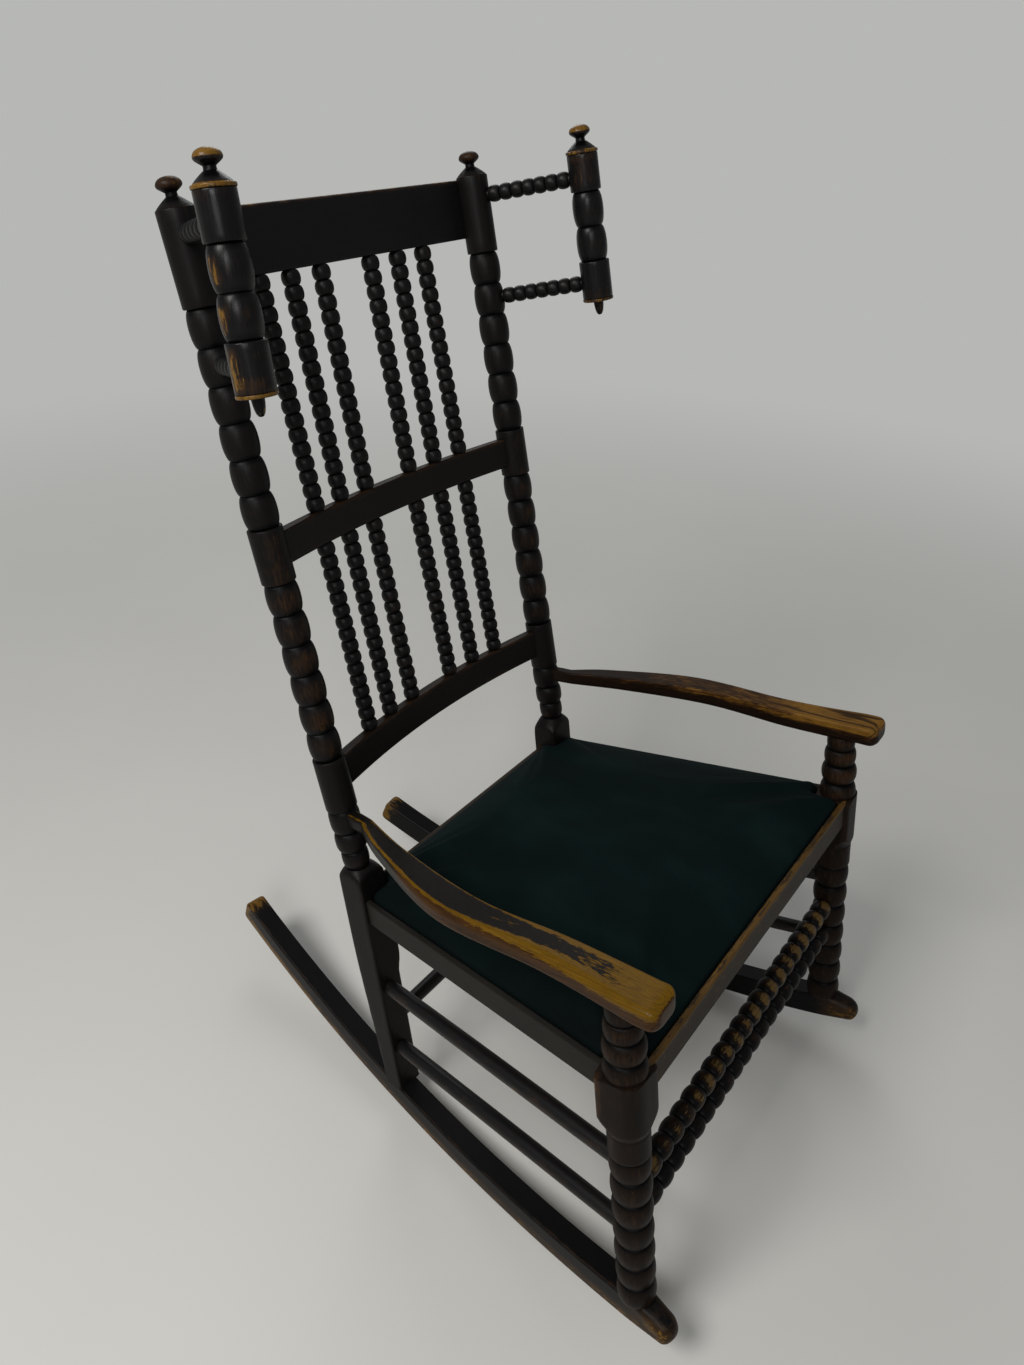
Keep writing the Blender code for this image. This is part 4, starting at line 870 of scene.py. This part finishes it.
def throughPoints(points, count):
    # a cubic through the points with slopes from their neighbours
    p = np.asarray(points, float)
    where = np.linspace(0, len(p) - 1, count)
    i = np.minimum(where.astype(int), len(p) - 2)
    t = (where - i)[:, None]
    before, start, end = p[np.maximum(i - 1, 0)], p[i], p[i + 1]
    after = p[np.minimum(i + 2, len(p) - 1)]
    blend = t * t * (3 - 2 * t)
    return start + (end - start) * blend + (end - before) * t * (1 - t) ** 2 / 2 + (after - start) * t * t * (t - 1) / 2


def armEdge(points, inwards):
    # the plan's curve, then straight on, and round the front corner by a quarter circle
    rear, front = np.array((rx, ry)), np.array((fx, fy))
    edge = throughPoints([rear + (front - rear) * share + (out, 0) for share, out in points], arm["rows"]["plan"])
    (x, y), cornerY = edge[-1], front[1] - arm["overhang"] + arm["corner"]
    run = np.linspace(0, 1, arm["rows"]["straight"] + 1)[1:]
    straight = np.stack([x + 0 * run, y + (cornerY - y) * run], 1)
    tip = np.stack([x + inwards * arm["corner"] * (1 - np.cos(cornerTurn)),
                    cornerY - arm["corner"] * np.sin(cornerTurn)], 1)
    return np.concatenate([edge, straight, tip])


def armPiece(name, side, finish, wornBy):
    # each row is a rounded bar between the plan's two edges: thin at the rear, drawn in round the front end
    outer, inner = armEdge(arm["outer"], -1), armEdge(arm["inner"], 1)
    rows = arm["rows"]
    anchor = np.array([postX(arm["level"]), ry + arm["level"] * math.sin(math.radians(stance["rake"]))])
    root = (outer[0] + inner[0]) / 2
    way = (root - anchor) / np.linalg.norm(root - anchor)
    wide = np.array([-way[1], way[0]]) * arm["tongue"] / 2
    back = anchor + way * np.linspace(0.010, 0.028, rows["tongue"])[:, None]
    outer, inner = np.concatenate([back + wide, outer]), np.concatenate([back - wide, inner])
    share = np.clip((np.arange(len(outer)) - rows["tongue"]) / (rows["plan"] + rows["straight"] - 1), 0, 1)
    thick = arm["rear"] + (arm["thickness"] - arm["rear"]) * np.clip(share / arm["taper"], 0, 1)
    squeeze = np.zeros(len(outer))
    squeeze[-len(cornerTurn):] = arm["end"] * (1 - np.cos(cornerTurn))
    width = np.linalg.norm(outer - inner, axis=1)
    bull = arm["round"] * (0.45 + 0.55 * smoothStep(share, 0.15, 0.5)) * (1 - 0.35 * smoothStep(share, 0.75, 1))
    section, edge = roundedSection(width, thick - 2 * squeeze, (arm["chamfer"], bull, 0.003, arm["chamfer"]), 8, 11)
    out, up = section[..., 0], section[..., 1]
    middle = (outer + inner) / 2
    across = (outer - inner) / width[:, None]
    level = arm["top"] - squeeze - (thick - 2 * squeeze) / 2
    plan = middle[:, None] + across[:, None] * out[..., None]
    spots = np.stack([side * plan[..., 0], plan[..., 1], level[:, None] + up], -1)
    half = width[:, None] / 2
    atEnd = smoothStep(squeeze, *arm["frontWear"])[:, None]
    bare, stained = wornBy(share[:, None] + 0 * out, out, half - out, half + out, smoothStep(up, -0.001, 0.006),
                           atEnd, bull[:, None])
    steps = np.linalg.norm(np.diff(middle, axis=0), axis=1)
    along = np.concatenate([[0], np.cumsum(steps)])[:, None] + 0 * out
    paints = boardPaints(out, up, along, np.maximum(edge * 0.15, stained), bare, (0.004, -0.026), arm["runOut"][side])
    gridPiece("arm_" + name, fromChair(spots), finish, paints, 50)


def climb(s, first, *rises):
    # first, and for each rise that much more from one place along the arm to another
    total = first
    for rise, low, high in rises:
        total = total + rise * smoothStep(s, low, high)
    return total


nearArm = {  # each share is its value at the rear, then (rise, from, to) with the arm's length as 1
    "middle": (0.07, (0.16, 0.44, 0.62), (0.22, 0.64, 0.80), (0.36, 0.80, 0.95)),
    "outerFace": (0.02, (0.34, 0.34, 0.58), (0.30, 0.66, 0.95)), "innerFace": 0.22,
    "amber": (0.12, (0.88, 0.22, 0.48)),
    "outerBand": 0.90, "outerWidth": (0.0024, (0.0066, 0.42, 0.80)),
    "innerBand": 0.96, "innerWidth": (0.0042, (0.0066, 0.45, 0.80)),
    "scratch": (0.50, 0.58, 0.06, -0.003, 0.007),  # amount, place and reach along, place and reach across
    "endFilm": 0.60, "endStain": 0.75,
}
farArm = {
    "top": (0.06, (0.30, 0.16, 0.45), (0.38, 0.52, 0.90)), "side": (0.02, (0.10, 0.45, 0.98)),
    "edge": (0.14, 0.4), "edgeWidth": 0.003, "stain": (0, (0.3, 0.1, 0.5)), "endFilm": 0.3,
}


def nearWear(s, out, toOuter, toInner, topSide, atEnd, bull):
    # film left on the top's middle, bare along both edges and towards the front, amber outer side
    start = smoothStep(s, -0.06, 0.04)
    onOuter = smoothStep(-toOuter / bull, -0.75, -0.35)
    onInner = smoothStep(-toInner, -0.004, 0)
    amount, place, reach, beside, breadth = nearArm["scratch"]
    scratch = amount * np.exp(-((s - place) / reach) ** 2 - ((out - beside) / breadth) ** 2) * topSide
    outerBand = np.exp(-((toOuter - bull * 0.8) / climb(s, *nearArm["outerWidth"])) ** 2) * topSide
    innerBand = np.exp(-(toInner / climb(s, *nearArm["innerWidth"])) ** 2) * topSide
    bare = np.maximum.reduce([
        climb(s, *nearArm["middle"]) * topSide * (1 - onOuter), scratch,
        outerBand * nearArm["outerBand"] * start, innerBand * nearArm["innerBand"] * start,
        onOuter * climb(s, *nearArm["outerFace"]) * (0.30 + 0.70 * topSide),
        onInner * (1 - topSide) * nearArm["innerFace"]])
    amber = onOuter * climb(s, *nearArm["amber"]) * (0.55 + 0.45 * topSide)
    return bare * (1 - nearArm["endFilm"] * atEnd), np.maximum(amber, atEnd * nearArm["endStain"])


def farWear(s, out, toOuter, toInner, topSide, atEnd, bull):
    # worn brown, dark at the rear and palest at the front, with dark sides
    edgeFirst, edgeGrowth = farArm["edge"]
    edge = np.exp(-(np.minimum(toOuter, toInner) / farArm["edgeWidth"]) ** 2) * (edgeFirst + edgeGrowth * s)
    bare = np.maximum.reduce([climb(s, *farArm["top"]) * topSide, climb(s, *farArm["side"]) * (1 - topSide),
                              edge * topSide])
    return bare * (1 - farArm["endFilm"] * atEnd), climb(s, *farArm["stain"])


armPiece("right", -1, nearArmWood, nearWear)
armPiece("left", 1, farArmWood, farWear)
print("arms shaped")


# Rockers: a rounded section along the arc, closing to a blunt nose and tail

def quarter(far, radius):
    # how far a quarter circle of this radius has drawn in, at a distance from its end
    return radius - np.sqrt(np.clip(radius ** 2 - np.clip(radius - far, 0, radius) ** 2, 0, None))


def footOnRocker(x, y, spread):
    # where a leg's axis meets the arc of the rocker's top
    a = math.radians(stance["tilt"])
    r = rocker["radius"] - rocker["depth"]
    startY = stance["standY"] + y * math.cos(a) - rocker["contactY"]
    startZ = stance["standZ"] - y * math.sin(a) - rocker["radius"]
    along = startY * math.sin(a) + startZ * math.cos(a)
    height = -along - math.sqrt(along ** 2 - (startY ** 2 + startZ ** 2 - r ** 2))
    x += (stance["blockTop"] - height) * spread
    return np.array([x, stance["standY"] + y * math.cos(a) + height * math.sin(a)])


frontFoot = footOnRocker(fx, fy, 0)
rearFoot = footOnRocker(rx, ry, rearSpread)
toeIn = math.atan2(frontFoot[0] - rearFoot[0], rearFoot[1] - frontFoot[1])
rockerWear = {
    "reach": {"tail": 0.030, "lowTail": 0.20, "toe": 0.055},  # how far each end's wear runs along
    # bare shares; the ridge's share is edge wear that also paints a highlight line along the top outer edge
    "bare": {"tail": 0.58, "nose": 0.50, "ridge": 0.20, "tread": 0.40, "face": 0.04, "lowFace": 0.38, "lowTail": 0.26},
    "stain": {"edge": 0.35, "face": 0.20, "lowFace": 0.70, "nose": 0.9, "toe": 0.72},
}


def nearEnd(far, reach):
    # exp(-(far / reach)^2), 1 at the end itself
    return np.exp(-(far / reach) ** 2)[:, None]


def rockerPiece(name, side):
    # point on the arc = contact + r (sin angle, 1 - cos angle), turned by the toe-in; the section gives r and across
    sweep = (rocker["radius"] - rocker["endRise"]) * math.cos(toeIn)
    nose = -math.asin((rocker["half"] + rocker["contactY"]) / sweep)
    tail = math.asin((rocker["half"] - rocker["contactY"]) / sweep)
    crowd = rocker["noseRun"] * (1 - np.cos(np.linspace(0.12, math.pi / 2, 20))) / rocker["radius"]
    body = np.linspace(nose + crowd[-1], tail - crowd[-1], 110)[1:-1]
    angle = np.concatenate([nose + crowd, body, (tail - crowd)[::-1]])
    fromNose, fromTail = (angle - nose) * rocker["radius"], (tail - angle) * rocker["radius"]
    far = np.minimum(fromNose, fromTail)
    width = rocker["width"] - 2 * (quarter(fromNose, rocker["corner"]) + quarter(fromTail, rocker["tailCorner"]))
    slope = rocker["noseFall"] * np.clip(1 - fromNose / rocker["noseRun"], 0, 1) ** 1.35
    under = quarter(far, rocker["endUnder"])
    depth = rocker["depth"] - (quarter(far, rocker["endTop"]) + slope) - under
    atToe = 1 - smoothStep(fromNose, 0.010, 0.058)
    over = rocker["ease"] + (rocker["noseEase"] - rocker["ease"]) * atToe
    below = rocker["ease"] + (rocker["noseEase"] * 0.5 - rocker["ease"]) * atToe
    section, edge = roundedSection(width, depth, (below, over, over, below), 6, 6)
    across, upward = section[..., 0], section[..., 1]
    radius = (rocker["radius"] - under - depth / 2)[:, None] - upward
    along = radius * np.sin(angle)[:, None]
    high = rocker["radius"] - radius * np.cos(angle)[:, None]
    share = (rocker["contactY"] - frontFoot[1]) / (rearFoot[1] - frontFoot[1])
    x = frontFoot[0] + (rearFoot[0] - frontFoot[0]) * share
    spots = np.stack([side * (x - along * math.sin(toeIn) + across * math.cos(toeIn)),
                      rocker["contactY"] + along * math.cos(toeIn) + across * math.sin(toeIn), high], -1)
    reach, worn, stain = (rockerWear[key] for key in ("reach", "bare", "stain"))
    top, toe = depth[:, None] / 2, nearEnd(fromNose, reach["toe"])
    outside = smoothStep(across, rocker["width"] * 0.42, rocker["width"] * 0.5)
    lower = smoothStep(-upward, -0.003, 0.011)
    lowTail = lower * nearEnd(fromTail, reach["lowTail"])
    atNose = toe * smoothStep(np.abs(across) - 0.5 * upward, -0.006, 0.012)
    # the top outer edge, worn bare and also painted lighter as a highlight line along it: partly painted highlight
    ridge = np.exp(-((upward - top) / 0.003) ** 2) * smoothStep(across, 0.008, 0.013) * (1 - atToe)[:, None]
    tread = np.exp(-np.abs(upward + top) / 0.004)
    bare = np.maximum.reduce([
        nearEnd(fromTail, reach["tail"]) * worn["tail"] + 0 * across, atNose * worn["nose"],
        outside * (worn["face"] + worn["lowFace"] * lower + worn["lowTail"] * lowTail),
        ridge * worn["ridge"], tread * worn["tread"]])
    stained = np.maximum.reduce([
        edge * stain["edge"], outside * (stain["face"] + stain["lowFace"] * lower),
        atNose * stain["nose"], toe * stain["toe"] + 0 * across])
    paints = boardPaints(across, upward, rocker["radius"] * angle[:, None] + 0 * across, stained, bare)
    gridPiece("rocker_" + name, spots, rockerWood, paints, 45)


for name, side in sides.items():
    rockerPiece(name, side)
print("rockers shaped")


# Drop-in seat: velvet over a stuffed pad

cushion = {
    "edge": 0.005, "crown": 0.02773, "bottom": -0.0152, "back": 0.0045, "rings": 26,
    "gap": 0.0015, "inset": 0.0012, "spacing": 0.004, "ease": 0.005,  # of the outline, inside the rebate
    "voxel": 0.004, "pressure": 4.0, "quality": 6, "frames": 20,
    "held": 0.0056, "cap": 0.006,  # level below which the cloth is pinned, and the most that it moves
}


def seatPlan():
    # the rebate's outline, notched round the legs and moved in
    inset, rearX = cushion["inset"], rx + splayAtSeat
    run = np.array([rearX - fx, ry - fy])
    run = run / np.linalg.norm(run)
    edge = (seatRail["thickness"] / 2 - seatRail["lip"] - inset) / run[1]
    gap = cushion["gap"] + inset
    frontY = frontLine - seatRail["thickness"] / 2 + seatRail["lip"] + inset
    rearY = rearLine + seatRail["thickness"] / 2 - seatRail["lip"] - inset
    notch = (fx - leg["bar"] / 2 - gap, fy + leg["bar"] / 2 + gap)
    back = (rearX - post["leg"] / 2 - post["swell"] - gap, ry - post["leg"] / 2 - gap)
    half = [(notch[0], frontY), notch, (fx + (notch[1] - fy) * run[0] / run[1] + edge, notch[1]),
            (fx + (back[1] - fy) * run[0] / run[1] + edge, back[1]), back, (back[0], rearY)]
    whole = np.array(half + [(-x, y) for x, y in reversed(half)])
    return whole - (0, seatMiddleY)


def rimLine():
    # the outline at even steps, its corners eased by a running mean
    corners = seatPlan()
    loop = np.concatenate([corners, corners[:1]])
    run = np.concatenate([[0], np.cumsum(np.linalg.norm(np.diff(loop, axis=0), axis=1))])
    at = np.linspace(0, run[-1], int(run[-1] / cushion["spacing"]), endpoint=False)
    rim = np.stack([np.interp(at, run, loop[:, k]) for k in (0, 1)], 1)
    reach = max(1, int(cushion["ease"] / cushion["spacing"]))
    return sum(np.roll(rim, k, axis=0) for k in range(-reach, reach + 1)) / (2 * reach + 1)


def velvetPiece(finish):
    # the rim scaled and set at a level, ring by ring: a dome, edge + crown sqrt(1 - share^2.5), wall, border and back
    rim = rimLine()
    share = np.sin(np.linspace(0.02, 1, cushion["rings"]) * math.pi / 2)
    dome = cushion["edge"] + cushion["crown"] * np.sqrt(np.clip(1 - share ** 2.5, 0, 1))
    wall = [(0.998, 0.004), (1.0, 0.002), (1.0, -0.001), (0.999, -0.006), (0.999, cushion["bottom"] + 0.001)]
    border = [(scale, cushion["bottom"]) for scale in (0.992, 0.94)]
    back = [(scale, cushion["back"]) for scale in (0.925, 0.7, 0.4, 0.02)]
    steps = [*zip(share * 0.994, dome), *wall, *border, *back]
    rings = np.array([np.column_stack([rim * scale, np.full(len(rim), z)]) for scale, z in steps])
    flat = np.zeros(rings.shape[:2])
    made = gridPiece("velvet_cover", fromSeat(rings), finish, {"rub": flat}, 70, "drop_in_seat")
    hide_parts("seat_stuffing")
    return made


def plump(made):
    # voxel remesh, then cloth with a little pressure; the wall, border and back are pinned
    for other in bpy.context.selected_objects:
        other.select_set(False)
    bpy.context.view_layer.objects.active = made
    made.select_set(True)
    made.data.remesh_voxel_size = cushion["voxel"]
    bpy.ops.object.voxel_remesh()
    count = len(made.data.vertices)
    rest = np.empty(count * 3, np.float32)
    made.data.vertices.foreach_get("co", rest)
    rest = rest.reshape(-1, 3).astype(float)
    local = (rest - seatFoot) @ seatTurn
    held = [int(i) for i in np.nonzero(local[:, 2] < cushion["held"])[0]]
    made.vertex_groups.new(name="held").add(held, 1.0, "REPLACE")
    cloth = made.modifiers.new("plump", "CLOTH")
    cloth.settings.vertex_group_mass = "held"
    cloth.settings.use_pressure = True
    cloth.settings.uniform_pressure_force = cushion["pressure"]
    cloth.settings.effector_weights.gravity = 0
    cloth.settings.quality = cushion["quality"]
    scene.frame_start, scene.frame_end = 1, cushion["frames"]
    for number in range(1, cushion["frames"] + 1):
        scene.frame_set(number)
    graph = bpy.context.evaluated_depsgraph_get()
    swollen = np.empty(count * 3, np.float32)
    made.evaluated_get(graph).data.vertices.foreach_get("co", swollen)
    moved = swollen.reshape(-1, 3).astype(float) - rest
    length = np.linalg.norm(moved, axis=1, keepdims=True)
    moved = moved * np.minimum(1, cushion["cap"] / np.maximum(length, 1e-9))
    made.modifiers.remove(cloth)
    made.vertex_groups.clear()
    made.data.vertices.foreach_set("co", (rest + moved).astype(np.float32).ravel())
    made.data.update()
    scene.frame_set(1)
    finer = made.modifiers.new("finer", "SUBSURF")
    finer.levels = finer.render_levels = 1
    made.data.shade_smooth()


def backCloth(made, finish):
    # faces of the back that look down, above the webbing, take the second finish
    made.data.materials.append(finish)
    centres, normals = (np.empty(len(made.data.polygons) * 3, np.float32) for k in range(2))
    made.data.polygons.foreach_get("center", centres)
    made.data.polygons.foreach_get("normal", normals)
    level = ((centres.reshape(-1, 3) - seatFoot) @ seatTurn)[:, 2]
    facing = (normals.reshape(-1, 3) @ seatTurn)[:, 2]
    under = (level > 0) & (level < cushion["back"] + 0.002) & (facing < -0.5)
    made.data.polygons.foreach_set("material_index", under.astype(np.int32))


def webFinish(name, pale, dark, yarns):
    # over and under yarns as two crossed waves
    made, shader, s = newFinish(name)
    place = s.node("TexCoord", out="Object")
    warp, weft = (
        s.node("TexWave", {"bands_direction": way}, {"Vector": place, "Scale": scale, "Distortion": 0.6}, "Fac")
        for way, scale in zip("XY", yarns))
    fuzz = place.noise(900, 3, 0.6)
    colour = (warp * 0.3 + weft * 0.3 + fuzz * 0.4).mix(dark, pale)
    height = warp * weft + fuzz * 0.3
    wire(shader, Base_Color=colour, Roughness=0.88 + (fuzz - 0.5) * 0.1, Normal=height.bump(0.6, 0.001))
    return made


def velvetFinish(name):
    # short pile: dark green, brushed lighter in soft patches, with painted shade darkening it towards the near side
    made, shader, s = newFinish(name)
    place = s.node("TexCoord", out="Object")
    brushed = place.times((1.0, 0.55, 1.0)).noise(9, 3, 0.5).step(0.42, 0.66)
    pile = place.noise(1500, 2, 0.5)
    soft = place.noise(160, 3, 0.6)
    # painted shade: the velvet turns darker towards the near side, at negative x, and the brushed patches fade there
    across = s.node("SeparateXYZ", {}, {0: place}, "X").step(-0.26, -0.08)
    dark = across.mix(tint(3, 8, 8), tint(4, 14, 14))
    colour = ((brushed * 0.75 + (soft - 0.5) * 0.4) * (across * 0.7 + 0.3)).mix(dark, tint(9, 26, 25))
    height = pile * 0.6 + soft * 0.6
    wire(shader, Base_Color=colour, Roughness=0.86 + (soft - 0.5) * 0.1, Normal=height.bump(0.35, 0.0008))
    wire(shader, Sheen_Weight=0.03, Sheen_Roughness=0.4, Sheen_Tint=tint(60, 110, 100), Specular_IOR_Level=0.06)
    return made


velvet = velvetFinish("green_velvet_pile")
seatPad = velvetPiece(velvet)
plump(seatPad)
backCloth(seatPad, webFinish("hessian_back", tint(150, 126, 88), tint(84, 67, 44), (260.0, 260.0)))
print("velvet seat laid")


# Under the seat: bare softwood rails and woven straps

def dealFinish(name, stretch):
    # straight grain: noise drawn out along the fibres
    made, shader, s = newFinish(name)
    place = s.node("TexCoord", out="Object")
    streak = place.times(stretch).noise(420, 4, 0.6)
    cloud = place.noise(30, 3, 0.5)
    colour = (streak * 0.6 + cloud * 0.5 - 0.05).mix(tint(150, 116, 74), tint(206, 176, 128))
    wire(shader, Base_Color=colour, Roughness=0.66 + (streak - 0.5) * 0.2, Normal=streak.bump(0.2, 0.0008))
    return made


seatFrame = {"weld": 1e-5, "bevel": 0.003, "segments": 2, "angle": 40}
dealAcross, dealAlong = dealFinish("deal_across", (0.06, 1, 1)), dealFinish("deal_along", (1, 0.06, 1))
jute = webFinish("woven_jute", tint(184, 162, 124), tint(112, 92, 64), (160.0, 190.0))
for node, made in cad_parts.items():
    if node.startswith("seat_frame"):
        joined = made.modifiers.new("joined", "WELD")
        joined.merge_threshold = seatFrame["weld"]
        eased = made.modifiers.new("eased", "BEVEL")
        eased.width, eased.segments = seatFrame["bevel"], seatFrame["segments"]
        eased.limit_method, eased.angle_limit = "ANGLE", math.radians(seatFrame["angle"])
        made.data.materials.clear()
        made.data.materials.append(dealAcross if node.endswith(("front", "rear")) else dealAlong)
    elif "webbing" in node:
        made.data.materials.clear()
        made.data.materials.append(jute)
print("seat frame and webbing finished")


# Floor, light and camera: far off, the floor turns into the backdrop

backdrop = tint(183, 184, 181)
ground = {"columns": 96, "rings": (0.01, 1, 3, 9, 30), "level": -0.0004, "fade": (0.9, 3.4)}


def floorPiece():
    # a flat disc: point = radius (cos turn, sin turn), with the innermost ring filled
    count = ground["columns"]
    turn = np.linspace(0, 2 * math.pi, count, endpoint=False)
    radii = np.array(ground["rings"])[:, None]
    level = np.full((len(radii), count), ground["level"])
    flat = np.stack([radii * np.cos(turn), radii * np.sin(turn), level], -1).reshape(-1, 3)
    i, j = np.meshgrid(np.arange(len(radii) - 1) * count, np.arange(count), indexing="ij")
    k = (j + 1) % count
    faces = np.stack([i + j, i + count + j, i + count + k, i + k], -1).reshape(-1, 4).tolist()
    mesh = bpy.data.meshes.new("floor")
    mesh.from_pydata(flat.tolist(), [], faces + [list(range(count))])
    made, shader, s = newFinish("pale_floor")
    place = s.node("TexCoord", out="Object")
    tone = place.noise(2.2, 3, 0.5)
    wire(shader, Base_Color=tone.mix(tint(196, 195, 190), tint(204, 203, 198)), Roughness=0.62)
    away = s.node("VectorMath", {"operation": "LENGTH"}, {0: place}, "Value").step(*ground["fade"])
    path = s.node("LightPath", out="Is Camera Ray").top(s.node("LightPath", out="Is Glossy Ray"))
    glow = s.node("Emission", {}, {"Color": backdrop, "Strength": 1.0})
    mixed = s.node("MixShader", {}, {0: away * path, 1: s, 2: glow})
    made.node_tree.links.new(mixed.out, made.node_tree.nodes["Material Output"].inputs["Surface"])
    mesh.materials.append(made)
    floor = bpy.data.objects.new("floor", mesh)
    scene.collection.objects.link(floor)


floorPiece()
lamps = {
    "key": {"at": (-1.9, 0.3, 2.6), "size": 1.1, "watts": 54, "colour": (1.0, 0.985, 0.96)},
    "fill": {"at": (-2.2, -1.3, 2.1), "size": 0.9, "watts": 24, "colour": (0.97, 0.98, 1.0)},
    "back": {"at": (1.8, 2.0, 2.4), "size": 1.6, "watts": 15, "colour": (0.98, 0.99, 1.0)},
}
for name, lamp in lamps.items():
    light = bpy.data.lights.new(name, "AREA")
    light.shape = "DISK"
    light.size = lamp["size"]
    light.energy = lamp["watts"]
    light.color = lamp["colour"]
    made = bpy.data.objects.new(name, light)
    made.location = lamp["at"]
    made.rotation_euler = (Vector((0, 0, 0.5)) - Vector(lamp["at"])).to_track_quat("-Z", "Y").to_euler()
    scene.collection.objects.link(made)

sky = {"colour": (0.97, 0.985, 1.0, 1), "strength": 0.26}
world = bpy.data.worlds.new("studio")
world.use_nodes = True
lit = world.node_tree.nodes["Background"]
lit.inputs["Color"].default_value = sky["colour"]
lit.inputs["Strength"].default_value = sky["strength"]
air = Sock(world.node_tree, lit.outputs[0])
seen = air.node("Background", {}, {"Color": backdrop, "Strength": 1.0})
wall = air.node("MixShader", {}, {0: air.node("LightPath", out="Is Camera Ray"), 1: air, 2: seen})
world.node_tree.links.new(wall.out, world.node_tree.nodes["World Output"].inputs["Surface"])
scene.world = world

view = {
    "focal": 982.88, "frameHeight": 1365, "sensor": 36, "at": (-0.7814, -0.5187, 1.2027),
    "right": (0.60236, -0.79725, 0.03945), "up": (0.41873, 0.35768, 0.83470), "back": (-0.67957, -0.48628, 0.54928),
}
lens = bpy.data.cameras.new("camera")
lens.sensor_width = view["sensor"]
lens.lens = view["focal"] * view["sensor"] / view["frameHeight"]
lens.clip_start = 0.02
camera = bpy.data.objects.new("camera", lens)
camera.matrix_world = Matrix([*zip(view["right"], view["up"], view["back"], view["at"]), (0, 0, 0, 1)])
scene.collection.objects.link(camera)
scene.camera = camera
print("stage set")
